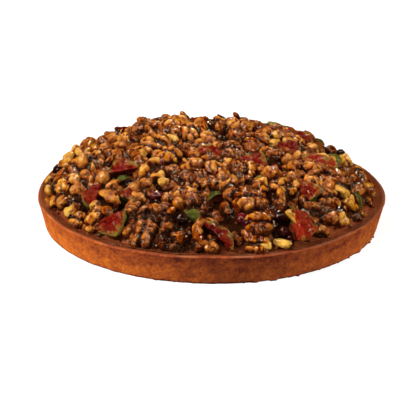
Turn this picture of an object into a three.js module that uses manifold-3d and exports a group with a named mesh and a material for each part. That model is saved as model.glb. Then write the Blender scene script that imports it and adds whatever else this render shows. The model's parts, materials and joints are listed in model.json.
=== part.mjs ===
// A large round caramel nut tart, modelled at its real size in millimetres, +Z up.
// A plain-sided shortcrust case holds a caramel filling. On the filling stands a low mound of
// glazed walnuts and hazelnuts, which is one solid, and in the mound lie fig wedges, dark
// berries and cranberries, each a solid of its own. The origin is the middle of the underside.
import * as THREE from "three";
import { mergeVertices } from "three/addons/utils/BufferGeometryUtils.js";
import Module from "manifold-3d";

const wasm = await Module();
wasm.setup();

// ---- Driving dimensions: lengths in millimetres, angles in degrees ----
const RIM_RADIUS = 150;
const FOOT_RADIUS = 144.2;
const WALL_HEIGHT = 25.5;
const RIM_THICKNESS = 4.6;
const FLOOR_THICKNESS = 5;
const ROUND_SEGMENTS = 60;
const GAP = 0.3;
const SWELL = 2 * GAP;
const WELD_TOLERANCE = 1e-4;

// The bare mound under the nuts: its height falls off as a power of the distance from the middle,
// and it leans, so that it is higher towards -X by this share of its rise.
const FILLING_DROP = 0.9;
const MOUND_RISE = 30;
const MOUND_RADIUS = 138;
const MOUND_POWER = 5;
const MOUND_LEAN = 0.09;
const MOUND_RINGS = 6;
const MOUND_SEGMENTS = 28;

const FIG_WEDGE_ANGLE = 84;
const FIG_LIFT = 0.28;
const BERRY_RADIUS = 4.9;
const BERRY_LIFT = 4.7;
const CRANBERRY_SIZE = [13, 8.6, 7.4];
const CRANBERRY_LIFT = 3.8;
const GOLDEN_ANGLE = 137.508;

// Length, width and height of each kind of nut.
const NUT_SIZES = {
  half: [27, 21, 13],
  open: [27, 22, 12],
  crescent: [25, 12, 12],
  chunk: [13, 11, 9],
  hazelnut: [11.5, 11.5, 11],
};

// Fig wedges: bearing and distance from the middle, then the turn of the wedge seen from above,
// its roll about its own length, its length and the radius of the fig that it was cut from.
const FIGS = [
  ["fig_01", 219, 122, 70, 12, 27, 14],
  ["fig_02", 236, 132, 200, -20, 28, 17],
  ["fig_03", 234.5, 110, 95, 10, 18, 12],
  ["fig_04", 209, 86, 8, 30, 29, 14],
  ["fig_05", 219, 93, 10, 120, 21, 9],
  ["fig_06", 260, 3, -20, 30, 28, 13],
  ["fig_07", 329, 41, -22, 38, 31, 14],
  ["fig_08", 33, 94, -30, 22, 31, 12],
  ["fig_09", 14, 67, -28, 50, 31, 12],
  ["fig_10", 351, 95, -47, 45, 45, 15],
  ["fig_11", 316, 106, -62, 12, 31, 16],
  ["fig_12", 302, 130, -62, -10, 30, 19],
  ["fig_13", 273, 128, -52, 0, 38, 11],
  ["fig_14", 271, 93, 25, 100, 26, 10],
  ["fig_15", 262, 112, -60, 120, 19, 8],
  ["fig_16", 338, 126, -38, 105, 28, 11],
  ["fig_17", 8, 107, -72, 110, 23, 9],
  ["fig_18", 303, 70, 80, 115, 18, 8],
  ["fig_19", 60, 120, 155, 10, 36, 15],
  ["fig_20", 97, 104, 40, 25, 28, 11],
  ["fig_21", 112, 124, 190, 10, 36, 15],
  ["fig_22", 84, 123, 170, 110, 30, 12],
  ["fig_23", 131, 121, 60, 15, 36, 15],
  ["fig_24", 42, 126, 120, 100, 26, 11],
];

// Dark berries: bearing and distance from the middle, and size.
const BERRIES = [
  ["berry_01", 178, 129, 1.12],
  ["berry_02", 142, 106, 0.9],
  ["berry_03", 146, 92, 1.0],
  ["berry_04", 227, 97, 0.86],
  ["berry_05", 211, 130, 0.95],
  ["berry_06", 253, 118, 1.05],
  ["berry_07", 258.5, 120, 0.92],
  ["berry_08", 247, 111, 0.9],
  ["berry_09", 296, 120, 1.0],
  ["berry_10", 295, 131, 0.9],
  ["berry_11", 296, 140, 0.8],
  ["berry_12", 0, 124, 1.0],
  ["berry_13", 327, 118, 1.05],
  ["berry_14", 322, 129, 1.0],
  ["berry_15", 216.5, 136, 0.86],
  ["berry_16", 75, 102, 1.0],
  ["berry_17", 122, 76, 0.95],
  ["berry_18", 146, 128, 1.05],
  ["berry_19", 98, 131, 0.9],
  ["berry_20", 24, 124, 0.95],
];

// Cranberries: bearing and distance from the middle, turn seen from above, and size.
const CRANBERRIES = [
  ["cranberry_01", 182, 116, 60, 1.0],
  ["cranberry_02", 165, 128, 110, 0.95],
  ["cranberry_03", 282, 119, -60, 1.05],
  ["cranberry_04", 28, 27, 20, 0.95],
  ["cranberry_05", 211, 51, 150, 0.85],
  ["cranberry_06", 328, 63, 30, 0.9],
  ["cranberry_07", 244, 100, -20, 0.95],
  ["cranberry_08", 60, 84, 75, 1.0],
  ["cranberry_09", 122, 98, 10, 0.95],
];

// The nuts that stand out most: kind, bearing and distance from the middle, lift above the bare
// mound, turn seen from above, roll about the length, and size.
const NAMED_NUTS = [
  ["half", 115, 50, 5.5, -35, 10, 1.2],
  ["half", 116, 74, 7, 20, 0, 1.05],
  ["open", 90, 62, 6.5, 100, 0, 0.95],
  ["crescent", 36, 112, 4.5, -20, 0, 0.95],
  ["half", 70, 72, 6, -10, 0, 0.95],
  ["open", 231, 74, 5, 60, 15, 1.15],
  ["crescent", 216, 24, 5.5, -60, 0, 1.1],
  ["open", 192, 102, 5, 75, 20, 1.05],
  ["crescent", 241, 124, 4.5, 75, 0, 1.25],
  ["half", 247, 133, 3.5, 70, 0, 0.92],
  ["open", 257, 133, 4, 70, 0, 0.98],
  ["crescent", 266, 127, 5, 80, 20, 1.0],
  ["half", 258, 67, 5, 20, 0, 0.9],
  ["half", 300, 53, 5, 100, 0, 0.95],
  ["open", 278, 78, 5, 50, -15, 1.0],
  ["half", 287, 104, 5, 10, 0, 1.05],
  ["half", 285, 137, 3.5, -5, 10, 0.8],
  ["open", 191, 131, 4, 80, 15, 1.0],
  ["half", 343, 122, 4.5, 60, 0, 0.95],
  ["open", 313, 116, 4.5, 150, 0, 0.9],
  ["half", 219, 136, 3, 150, 0, 0.72],
  ["crescent", 226, 138, 3, 140, 0, 0.72],
  ["hazelnut", 205, 133, 4, 0, 0, 0.95],
  ["half", 199, 122, 4.5, 110, 10, 0.9],
  ["crescent", 224, 108, 5, 80, 0, 0.95],
  ["half", 287, 123, 4, 10, 10, 0.85],
  ["hazelnut", 270, 138, 4, 0, 0, 0.95],
  ["hazelnut", 233, 100, 5, 30, 0, 1.05],
  ["hazelnut", 239, 96, 5, 70, 20, 0.85],
  ["hazelnut", 179, 66, 5, 0, 0, 0.95],
  ["hazelnut", 206, 66, 5, 80, 10, 1.0],
  ["hazelnut", 265, 78, 5, 45, 0, 0.85],
  ["crescent", 49, 38, 5, 30, 10, 1.0],
  ["crescent", 10, 44, 5, 130, 0, 0.9],
];

// The rest of the nuts are spread as the seeds of a sunflower are, leaving out those that would
// lie on a topping or on a nut that is there already. In NUT_MIX each kind has the share of the
// draw up to which it is taken.
const SPREAD_COUNT = 170;
const SPREAD_START = 75;
const SPREAD_JITTER = 4;
const SPREAD_LIFT = [3.5, 6];
const SPREAD_CROWDING = 0.3;
const SPREAD_SIZES = [0.8, 1.05];
const HEAP_RADIUS = 142;
const TUMBLE = 60;
const NUT_MIX = [["half", 0.3], ["open", 0.48], ["crescent", 0.74], ["chunk", 0.9], ["hazelnut", 1]];

const radians = THREE.MathUtils.degToRad;

// A repeatable draw from 0 to 1 for a numbered piece.
function draw(index, channel) {
  const value = Math.sin(index * 12.9898 + channel * 78.233) * 43758.5453;
  return value - Math.floor(value);
}

// ---- Solids from geometries and back ----

// The geometry with each corner kept once.
function welded(geometry) {
  const bare = geometry.clone();
  bare.deleteAttribute("normal");
  bare.deleteAttribute("uv");
  return mergeVertices(bare, WELD_TOLERANCE);
}

function solidFrom(geometry) {
  const merged = welded(geometry);
  return new wasm.Manifold(
    new wasm.Mesh({
      numProp: 3,
      vertProperties: new Float32Array(merged.attributes.position.array),
      triVerts: new Uint32Array(merged.index.array),
    }),
  );
}

function geometryFrom(solid) {
  const mesh = solid.getMesh();
  const positions = new Float32Array(mesh.numVert * 3);
  for (let i = 0; i < mesh.numVert; i++) {
    const start = i * mesh.numProp;
    positions.set(mesh.vertProperties.subarray(start, start + 3), i * 3);
  }
  return new THREE.BufferGeometry()
    .setAttribute("position", new THREE.BufferAttribute(positions, 3))
    .setIndex(new THREE.BufferAttribute(mesh.triVerts, 1));
}

// The largest piece of a solid, which drops the scraps that a cut leaves loose.
function largestPiece(solid) {
  return solid
    .decompose()
    .reduce((best, piece) => (piece.volume() > best.volume() ? piece : best));
}

// A profile of [radius, height] pairs turned about the Z axis.
function turned(profile, segments) {
  const points = profile.map(([radius, height]) => new THREE.Vector2(radius, height));
  return new THREE.LatheGeometry(points, segments).rotateX(Math.PI / 2);
}

// The geometry with every corner moved outward, so that each face moves by at least the gap.
function swollen(geometry) {
  const merged = welded(geometry);
  merged.computeVertexNormals();
  const { position, normal } = merged.attributes;
  for (let i = 0; i < position.count; i++) {
    position.setXYZ(
      i,
      position.getX(i) + normal.getX(i) * SWELL,
      position.getY(i) + normal.getY(i) * SWELL,
      position.getZ(i) + normal.getZ(i) * SWELL,
    );
  }
  return merged;
}

// Moves every vertex of a geometry to where `place` puts it.
function reshaped(geometry, place) {
  const position = geometry.attributes.position;
  const point = new THREE.Vector3();
  for (let i = 0; i < position.count; i++) {
    point.fromBufferAttribute(position, i);
    place(point);
    position.setXYZ(i, point.x, point.y, point.z);
  }
  return geometry;
}

// A unit ball with its poles on the Z axis, reshaped vertex by vertex.
function shapedBall(columns, rows, place) {
  return reshaped(new THREE.SphereGeometry(1, columns, rows).rotateX(Math.PI / 2), place);
}

// ---- The mound's surface ----

function moundHeight(x, y) {
  const share = Math.min(Math.hypot(x, y) / MOUND_RADIUS, 1);
  const lean = 1 - (MOUND_LEAN * x) / MOUND_RADIUS;
  return WALL_HEIGHT + MOUND_RISE * lean * (1 - share ** MOUND_POWER);
}

function moundNormal(x, y) {
  const step = 0.5;
  return new THREE.Vector3(
    moundHeight(x - step, y) - moundHeight(x + step, y),
    moundHeight(x, y - step) - moundHeight(x, y + step),
    2 * step,
  ).normalize();
}

// Places a piece on the mound: its Z axis leaves the surface, and its X axis points to `turn` as
// seen from above. It then rolls about X and pitches about Y.
function onMound(bearing, distance, lift, turn, roll = 0, pitch = 0) {
  const x = distance * Math.cos(radians(bearing));
  const y = distance * Math.sin(radians(bearing));
  const normal = moundNormal(x, y);
  const along = new THREE.Vector3(Math.cos(radians(turn)), Math.sin(radians(turn)), 0);
  along.addScaledVector(normal, -along.dot(normal)).normalize();
  const across = normal.clone().cross(along);
  const origin = new THREE.Vector3(x, y, moundHeight(x, y)).addScaledVector(normal, lift);
  return new THREE.Matrix4()
    .makeBasis(along, across, normal)
    .setPosition(origin)
    .multiply(new THREE.Matrix4().makeRotationX(radians(roll)))
    .multiply(new THREE.Matrix4().makeRotationY(radians(pitch)));
}

// ---- The case and its filling ----

// How far the hand-pressed wall wanders in and out, and the rim up and down.
function wallWander(angle) {
  return 0.35 * Math.sin(5 * angle + 1) + 0.25 * Math.sin(11 * angle + 2.4);
}

function rimWander(angle) {
  return 0.35 * Math.sin(7 * angle) + 0.25 * Math.sin(16 * angle + 1);
}

// The radius of the case's inner wall at a height.
function innerRadius(height) {
  const slant = (RIM_RADIUS - FOOT_RADIUS) / WALL_HEIGHT;
  return FOOT_RADIUS + slant * height - RIM_THICKNESS;
}

function pressed(geometry) {
  return reshaped(geometry, (point) => {
    const angle = Math.atan2(point.y, point.x);
    const distance = Math.hypot(point.x, point.y);
    const rise = point.z / WALL_HEIGHT;
    const wider = distance > FOOT_RADIUS / 2 ? wallWander(angle) * rise : 0;
    point.x += Math.cos(angle) * wider;
    point.y += Math.sin(angle) * wider;
    if (distance > FOOT_RADIUS / 2) point.z += rimWander(angle) * rise ** 3;
  });
}

function makeCase() {
  const bevel = 1.2;
  const wall = (height) => FOOT_RADIUS + ((RIM_RADIUS - FOOT_RADIUS) * height) / WALL_HEIGHT;
  return pressed(
    turned(
      [
        [0, 0],
        [FOOT_RADIUS - bevel, 0],
        [wall(bevel), bevel],
        [wall(WALL_HEIGHT / 2), WALL_HEIGHT / 2],
        [wall(WALL_HEIGHT - bevel), WALL_HEIGHT - bevel],
        [RIM_RADIUS - bevel, WALL_HEIGHT],
        [innerRadius(WALL_HEIGHT) + bevel, WALL_HEIGHT],
        [innerRadius(WALL_HEIGHT - bevel), WALL_HEIGHT - bevel],
        [innerRadius(FLOOR_THICKNESS), FLOOR_THICKNESS],
        [0, FLOOR_THICKNESS],
      ],
      ROUND_SEGMENTS,
    ),
  );
}

function makeFilling() {
  const foot = FLOOR_THICKNESS + GAP;
  const top = WALL_HEIGHT - FILLING_DROP;
  return pressed(
    turned(
      [
        [0, foot],
        [innerRadius(foot) - GAP, foot],
        [innerRadius(top - 1) - GAP, top - 1],
        [innerRadius(top) - 2, top],
        [0, top],
      ],
      ROUND_SEGMENTS,
    ),
  );
}

// The room that the case and filling take, with a gap, for trimming what lies on them.
function makeTrimmer() {
  const filling = WALL_HEIGHT - FILLING_DROP + 0.6 + GAP;
  const rim = WALL_HEIGHT + 0.6 + GAP;
  const inner = innerRadius(WALL_HEIGHT) - 1;
  return solidFrom(
    turned(
      [
        [0, 0],
        [RIM_RADIUS * 1.3, 0],
        [RIM_RADIUS * 1.3, rim],
        [inner, rim],
        [inner, filling],
        [0, filling],
      ],
      ROUND_SEGMENTS,
    ),
  );
}

// ---- Nuts ----

// A walnut half with its back up: two humped lobes with a groove along the middle.
function walnutBack([length, width, height]) {
  return shapedBall(8, 4, (p) => {
    const groove = 1 - 0.4 * Math.exp(-((p.y / 0.3) ** 2));
    const waist = 1 - 0.16 * Math.exp(-((p.x / 0.35) ** 2));
    p.z *= p.z > 0 ? (height / 2) * 1.15 * groove : (height / 2) * 0.85;
    p.x *= length / 2;
    p.y *= (width / 2) * waist;
  });
}

// A walnut half with its hollow up: a thick curled edge round a dent.
function walnutHollow([length, width, height]) {
  return shapedBall(8, 4, (p) => {
    const dent = Math.exp(-((p.x / 0.55) ** 2) - (p.y / 0.45) ** 2);
    p.z *= p.z > 0 ? (height / 2) * (1.25 - 1.1 * dent) : height / 2;
    p.x *= length / 2;
    p.y *= width / 2;
  });
}

// A broken lobe: a thick sausage bent in its own plane.
function walnutCrescent([length, width, height]) {
  const bend = radians(62);
  return shapedBall(5, 5, (p) => {
    const reach = p.z;
    const radius = length / 2 / bend;
    const side = (p.x * width) / 2;
    const lump = 1 + 0.14 * Math.sin(reach * 7);
    const angle = reach * bend;
    const up = ((p.y * height) / 2) * lump;
    p.set(Math.sin(angle) * (radius + side), Math.cos(angle) * (radius + side) - radius * 0.8, up);
  });
}

// A crumb of nut, uneven on all sides.
function nutChunk([length, width, height]) {
  return shapedBall(5, 3, (p) => {
    const lump = 1 + 0.2 * Math.sin(p.x * 4 + p.z * 3) * Math.cos(p.y * 5);
    p.set((p.x * length * lump) / 2, (p.y * width * lump) / 2, (p.z * height * lump) / 2);
  });
}

function hazelnut([length, width, height]) {
  return shapedBall(6, 4, (p) => {
    p.set((p.x * length) / 2, (p.y * width) / 2, (p.z * height) / 2);
  });
}

const NUT_MAKERS = {
  half: walnutBack,
  open: walnutHollow,
  crescent: walnutCrescent,
  chunk: nutChunk,
  hazelnut,
};

// How near a point comes to a topping, seen from above, past the topping's own half width.
function clearanceTo(topping, x, y) {
  const along = (x - topping.x) * topping.ux + (y - topping.y) * topping.uy;
  const nearest = THREE.MathUtils.clamp(along, -topping.reach, topping.reach);
  const dx = x - topping.x - nearest * topping.ux;
  const dy = y - topping.y - nearest * topping.uy;
  return Math.hypot(dx, dy) - topping.halfWidth;
}

function footprint(bearing, distance, turn, length, width) {
  return {
    x: distance * Math.cos(radians(bearing)),
    y: distance * Math.sin(radians(bearing)),
    ux: Math.cos(radians(turn)),
    uy: Math.sin(radians(turn)),
    reach: Math.max(length - width, 0) / 2,
    halfWidth: width / 2,
  };
}

// The spread nuts: each has a drawn jitter, kind, turn, roll, pitch, lift and size.
function spreadNuts(taken) {
  const nuts = [];
  for (let i = 0; i < SPREAD_COUNT; i++) {
    const kind = NUT_MIX.find(([, upTo]) => draw(i, 3) <= upTo)[0];
    const size = THREE.MathUtils.lerp(...SPREAD_SIZES, draw(i, 7));
    const spread = HEAP_RADIUS * Math.sqrt((i + 0.5) / SPREAD_COUNT);
    const distance = Math.min(spread, HEAP_RADIUS - (NUT_SIZES[kind][0] * size) / 2);
    const jitter = (2 * draw(i, 2) - 1) * (SPREAD_JITTER / Math.max(distance, 20));
    const nut = {
      kind,
      bearing: SPREAD_START + i * GOLDEN_ANGLE + THREE.MathUtils.radToDeg(jitter),
      distance,
      lift: THREE.MathUtils.lerp(...SPREAD_LIFT, draw(i, 8)),
      turn: 360 * draw(i, 4),
      roll: (draw(i, 5) - 0.5) * TUMBLE,
      pitch: (draw(i, 6) - 0.5) * TUMBLE,
      size,
    };
    const spot = nutFootprint(nut);
    const room = SPREAD_CROWDING * spot.halfWidth;
    if (taken.some((other) => clearanceTo(other, spot.x, spot.y) < room)) continue;
    nuts.push(nut);
  }
  return nuts;
}

function nutFootprint({ kind, bearing, distance, turn, size }) {
  const [length, width] = NUT_SIZES[kind];
  return footprint(bearing, distance, turn, length * size, width * size);
}

function namedNuts() {
  return NAMED_NUTS.map(([kind, bearing, distance, lift, turn, roll, size]) => ({
    kind,
    bearing,
    distance,
    lift,
    turn,
    roll,
    pitch: 0,
    size,
  }));
}

function placedNut({ kind, bearing, distance, lift, turn, roll, pitch, size }) {
  const geometry = NUT_MAKERS[kind](NUT_SIZES[kind].map((side) => side * size));
  return geometry.applyMatrix4(onMound(bearing, distance, lift, turn, roll, pitch));
}

// ---- Figs and berries ----

// The radius of a whole fig at a share of its length from stem to base.
function figRadius(share) {
  return Math.sin(Math.PI * share ** 1.3) ** 0.8;
}

// A wedge cut lengthwise from a fig. Its shown cut face is level and looks up, the fig's middle
// line runs along X from stem to base, and the skin bulges towards +Y and down.
function figWedge(length, radius) {
  const stations = [0, 0.2, 0.5, 0.8, 1];
  const arcSteps = 4;
  const ring = (share) => {
    const reach = figRadius(share) * radius;
    const points = [new THREE.Vector3(0, 0, 0)];
    for (let i = 0; i <= arcSteps; i++) {
      const angle = (-radians(FIG_WEDGE_ANGLE) * i) / arcSteps;
      points.push(new THREE.Vector3(0, Math.cos(angle) * reach, Math.sin(angle) * reach));
    }
    return points.map((p) => p.setX((share - 0.5) * length));
  };
  const rings = stations.slice(1, -1).map(ring);
  const perRing = arcSteps + 2;
  const vertices = [
    new THREE.Vector3(-length / 2, 0, 0),
    ...rings.flat(),
    new THREE.Vector3(length / 2, 0, 0),
  ];
  const last = vertices.length - 1;
  const faces = [];
  for (let i = 0; i < perRing; i++) {
    const next = (i + 1) % perRing;
    faces.push([0, 1 + i, 1 + next]);
    for (let s = 0; s < rings.length - 1; s++) {
      const here = 1 + s * perRing;
      const there = here + perRing;
      faces.push([here + i, there + i, there + next], [here + i, there + next, here + next]);
    }
    const end = 1 + (rings.length - 1) * perRing;
    faces.push([last, end + next, end + i]);
  }
  const middle = new THREE.Vector3(0, -0.42 * radius, 0.42 * radius);
  const positions = faces.flat().flatMap((v) => vertices[v].clone().add(middle).toArray());
  return new THREE.BufferGeometry().setAttribute(
    "position",
    new THREE.Float32BufferAttribute(positions, 3),
  );
}

function placedFig([, bearing, distance, turn, roll, length, radius]) {
  const frame = onMound(bearing, distance, FIG_LIFT * radius, turn, roll);
  return figWedge(length, radius).applyMatrix4(frame);
}

function placedBerry([, bearing, distance, size]) {
  const radius = BERRY_RADIUS * size;
  const ball = shapedBall(7, 5, (p) => p.multiplyScalar(radius));
  return ball.applyMatrix4(onMound(bearing, distance, BERRY_LIFT * size, 0));
}

function placedCranberry([, bearing, distance, turn, size]) {
  const [length, width, height] = CRANBERRY_SIZE.map((side) => side * size);
  const bean = shapedBall(6, 5, (p) =>
    p.set((p.x * length) / 2, (p.y * width) / 2, (p.z * height) / 2),
  );
  return bean.applyMatrix4(onMound(bearing, distance, CRANBERRY_LIFT * size, turn));
}

// ---- The heap of nuts, cut round every topping ----

function makeBareMound() {
  const foot = WALL_HEIGHT - FILLING_DROP + GAP;
  const edge = 1;
  const profile = [[0, foot], [MOUND_RADIUS, foot], [MOUND_RADIUS, foot + edge]];
  for (let ring = 1; ring <= MOUND_RINGS; ring++) {
    const distance = MOUND_RADIUS * Math.sqrt(1 - ring / MOUND_RINGS);
    profile.push([distance, foot + 2 * edge]);
  }
  const bare = reshaped(turned(profile, MOUND_SEGMENTS), (point) => {
    if (point.z > foot + 1.5 * edge) point.z = moundHeight(point.x, point.y);
  });
  return solidFrom(bare);
}

function makeHeap(trimmer) {
  const taken = [
    ...FIGS.map(([, bearing, distance, turn, , length, radius]) =>
      footprint(bearing, distance, turn, length, radius * 1.1),
    ),
    ...BERRIES.map(([, bearing, distance, size]) =>
      footprint(bearing, distance, 0, 0, 2 * BERRY_RADIUS * size),
    ),
    ...CRANBERRIES.map(([, bearing, distance, turn, size]) =>
      footprint(bearing, distance, turn, CRANBERRY_SIZE[0] * size, CRANBERRY_SIZE[1] * size),
    ),
  ];
  const named = namedNuts();
  taken.push(...named.map(nutFootprint));
  const nuts = [...named, ...spreadNuts(taken)];
  let heap = makeBareMound();
  for (const nut of nuts) heap = heap.add(solidFrom(placedNut(nut)));
  const toppings = [
    ...FIGS.map(placedFig),
    ...BERRIES.map(placedBerry),
    ...CRANBERRIES.map(placedCranberry),
  ];
  for (const topping of toppings) heap = heap.subtract(solidFrom(swollen(topping)));
  return geometryFrom(largestPiece(heap.subtract(trimmer)));
}

// ---- The tart ----

function material(color, roughness) {
  return new THREE.MeshStandardMaterial({ color, roughness, metalness: 0 });
}

const MATERIALS = {
  pastry: material(0xb9682c, 0.7),
  caramel: material(0x6d2f14, 0.25),
  nuts: material(0xa9672a, 0.35),
  fig: material(0x96242a, 0.35),
  berry: material(0x241322, 0.2),
  cranberry: material(0x6e1420, 0.3),
};

function named(name, geometry, look) {
  const mesh = new THREE.Mesh(geometry, look);
  mesh.name = name;
  return mesh;
}

const tart = new THREE.Group();
tart.name = "caramel_nut_tart";
const trimmer = makeTrimmer();
const trimmed = (geometry) => geometryFrom(largestPiece(solidFrom(geometry).subtract(trimmer)));

tart.add(named("case", makeCase(), MATERIALS.pastry));
tart.add(named("filling", makeFilling(), MATERIALS.caramel));
tart.add(named("nut_heap", makeHeap(trimmer), MATERIALS.nuts));
for (const row of FIGS) tart.add(named(row[0], trimmed(placedFig(row)), MATERIALS.fig));
for (const row of BERRIES) tart.add(named(row[0], trimmed(placedBerry(row)), MATERIALS.berry));
for (const row of CRANBERRIES) {
  tart.add(named(row[0], trimmed(placedCranberry(row)), MATERIALS.cranberry));
}

export default tart;
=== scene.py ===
"""The look of a caramel nut tart, laid over its solids.

Lengths in the tables and formulas are millimetres and angles are degrees; a mesh is written in
metres. Bearings run counter-clockwise from +X as seen from above, so the side that the camera
sees is at 270. Every piece is made in place, with its object at the origin.
"""
import itertools
import json
import math

import bpy
import numpy as np
from bpy.props import FloatProperty, FloatVectorProperty, IntProperty, PointerProperty
from mathutils import Euler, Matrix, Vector

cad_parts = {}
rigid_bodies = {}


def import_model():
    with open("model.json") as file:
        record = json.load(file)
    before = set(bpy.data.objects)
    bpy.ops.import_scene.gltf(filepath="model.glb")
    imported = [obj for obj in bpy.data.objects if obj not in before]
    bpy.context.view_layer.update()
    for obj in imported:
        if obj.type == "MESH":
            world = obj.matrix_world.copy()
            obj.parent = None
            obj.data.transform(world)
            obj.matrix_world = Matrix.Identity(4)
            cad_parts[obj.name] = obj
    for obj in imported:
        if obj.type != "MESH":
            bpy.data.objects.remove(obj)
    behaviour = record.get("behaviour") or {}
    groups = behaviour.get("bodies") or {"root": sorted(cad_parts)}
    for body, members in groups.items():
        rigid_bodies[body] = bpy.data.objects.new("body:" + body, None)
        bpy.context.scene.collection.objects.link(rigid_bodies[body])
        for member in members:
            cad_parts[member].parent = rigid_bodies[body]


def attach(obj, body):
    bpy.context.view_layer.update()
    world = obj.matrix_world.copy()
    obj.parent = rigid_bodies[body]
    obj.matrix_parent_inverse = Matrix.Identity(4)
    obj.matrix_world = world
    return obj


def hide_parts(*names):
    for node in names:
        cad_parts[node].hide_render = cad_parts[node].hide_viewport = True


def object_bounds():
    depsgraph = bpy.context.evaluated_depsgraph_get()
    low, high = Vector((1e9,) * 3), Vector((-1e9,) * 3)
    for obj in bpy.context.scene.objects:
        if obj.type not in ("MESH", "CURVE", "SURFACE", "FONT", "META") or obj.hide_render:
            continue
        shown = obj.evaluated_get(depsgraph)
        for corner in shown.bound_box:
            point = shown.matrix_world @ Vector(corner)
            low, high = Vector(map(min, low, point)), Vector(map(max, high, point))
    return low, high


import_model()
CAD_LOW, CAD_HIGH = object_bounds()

bl_info = {
    "name": "Caramel Nut Tart",
    "version": (1, 0, 0),
    "blender": (4, 5, 0),
    "location": "View3D > Sidebar > Tart",
    "description": "Makes the pieces of a caramel nut tart and the stage it is shown on",
    "category": "Add Mesh",
}

MILLIMETRE = 0.001
GOLDEN_ANGLE = 137.508
TINY = 1e-12

# ---- Where the toppings lie, as in the solids ----

# Fig wedges: bearing and distance from the middle, turn seen from above, roll about the length,
# length, radius of the whole fig, and how ripe the flesh is from 0, coral, to 1, crimson.
FIGS = np.array([
    (219, 122, 70, 12, 27, 14, 0.55),
    (236, 132, 200, -20, 28, 17, 0.6),
    (234.5, 110, 95, 10, 18, 12, 0.65),
    (209, 86, 8, 30, 29, 14, 0.6),
    (219, 93, 10, 120, 21, 9, 0.8),
    (260, 3, -20, 30, 28, 13, 0.5),
    (329, 41, -22, 38, 31, 14, 0.8),
    (33, 94, -30, 22, 31, 12, 0.75),
    (14, 67, -28, 50, 31, 12, 0.95),
    (351, 95, -47, 45, 45, 15, 0.35),
    (316, 106, -62, 12, 31, 16, 0.8),
    (302, 130, -62, -10, 30, 19, 0.1),
    (273, 128, -52, 0, 38, 11, 0.85),
    (271, 93, 25, 100, 26, 10, 0.9),
    (262, 112, -60, 120, 19, 8, 0.9),
    (338, 126, -38, 105, 28, 11, 0.9),
    (8, 107, -72, 110, 23, 9, 0.7),
    (303, 70, 80, 115, 18, 8, 0.7),
    (60, 120, 155, 10, 36, 15, 0.5),
    (97, 104, 40, 25, 28, 11, 0.7),
    (112, 124, 190, 10, 36, 15, 0.6),
    (84, 123, 170, 110, 30, 12, 0.7),
    (131, 121, 60, 15, 36, 15, 0.6),
    (42, 126, 120, 100, 26, 11, 0.7),
], float)

# Dark berries: bearing and distance from the middle, and size.
BERRIES = np.array([
    (178, 129, 1.12),
    (142, 106, 0.9),
    (146, 92, 1.0),
    (227, 97, 0.86),
    (211, 130, 0.95),
    (253, 118, 1.05),
    (258.5, 120, 0.92),
    (247, 111, 0.9),
    (296, 120, 1.0),
    (295, 131, 0.9),
    (296, 140, 0.8),
    (0, 124, 1.0),
    (327, 118, 1.05),
    (322, 129, 1.0),
    (216.5, 136, 0.86),
    (75, 102, 1.0),
    (122, 76, 0.95),
    (146, 128, 1.05),
    (98, 131, 0.9),
    (24, 124, 0.95),
], float)

# Cranberries: bearing and distance from the middle, turn seen from above, and size.
CRANBERRIES = np.array([
    (182, 116, 60, 1.0),
    (165, 128, 110, 0.95),
    (282, 119, -60, 1.05),
    (28, 27, 20, 0.95),
    (211, 51, 150, 0.85),
    (328, 63, 30, 0.9),
    (244, 100, -20, 0.95),
    (60, 84, 75, 1.0),
    (122, 98, 10, 0.95),
], float)

# The nuts that stand out most: kind, bearing and distance from the middle, lift above the bare
# mound, turn seen from above, roll about the length, and size.
NAMED_NUTS = [
    ("half", 115, 50, 5.5, -35, 10, 1.2),
    ("half", 116, 74, 7, 20, 0, 1.05),
    ("open", 90, 62, 6.5, 100, 0, 0.95),
    ("crescent", 36, 112, 4.5, -20, 0, 0.95),
    ("half", 70, 72, 6, -10, 0, 0.95),
    ("open", 231, 74, 5, 60, 15, 1.15),
    ("crescent", 216, 24, 5.5, -60, 0, 1.1),
    ("open", 192, 102, 5, 75, 20, 1.05),
    ("crescent", 241, 124, 4.5, 75, 0, 1.25),
    ("half", 247, 133, 3.5, 70, 0, 0.92),
    ("open", 257, 133, 4, 70, 0, 0.98),
    ("crescent", 266, 127, 5, 80, 20, 1.0),
    ("half", 258, 67, 5, 20, 0, 0.9),
    ("half", 300, 53, 5, 100, 0, 0.95),
    ("open", 278, 78, 5, 50, -15, 1.0),
    ("half", 287, 104, 5, 10, 0, 1.05),
    ("half", 285, 137, 3.5, -5, 10, 0.8),
    ("open", 191, 131, 4, 80, 15, 1.0),
    ("half", 343, 122, 4.5, 60, 0, 0.95),
    ("open", 313, 116, 4.5, 150, 0, 0.9),
    ("half", 219, 136, 3, 150, 0, 0.72),
    ("crescent", 226, 138, 3, 140, 0, 0.72),
    ("hazelnut", 205, 133, 4, 0, 0, 0.95),
    ("half", 199, 122, 4.5, 110, 10, 0.9),
    ("crescent", 224, 108, 5, 80, 0, 0.95),
    ("half", 287, 123, 4, 10, 10, 0.85),
    ("hazelnut", 270, 138, 4, 0, 0, 0.95),
    ("hazelnut", 233, 100, 5, 30, 0, 1.05),
    ("hazelnut", 239, 96, 5, 70, 20, 0.85),
    ("hazelnut", 179, 66, 5, 0, 0, 0.95),
    ("hazelnut", 206, 66, 5, 80, 10, 1.0),
    ("hazelnut", 265, 78, 5, 45, 0, 0.85),
    ("crescent", 49, 38, 5, 30, 10, 1.0),
    ("crescent", 10, 44, 5, 130, 0, 0.9),
]

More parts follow.
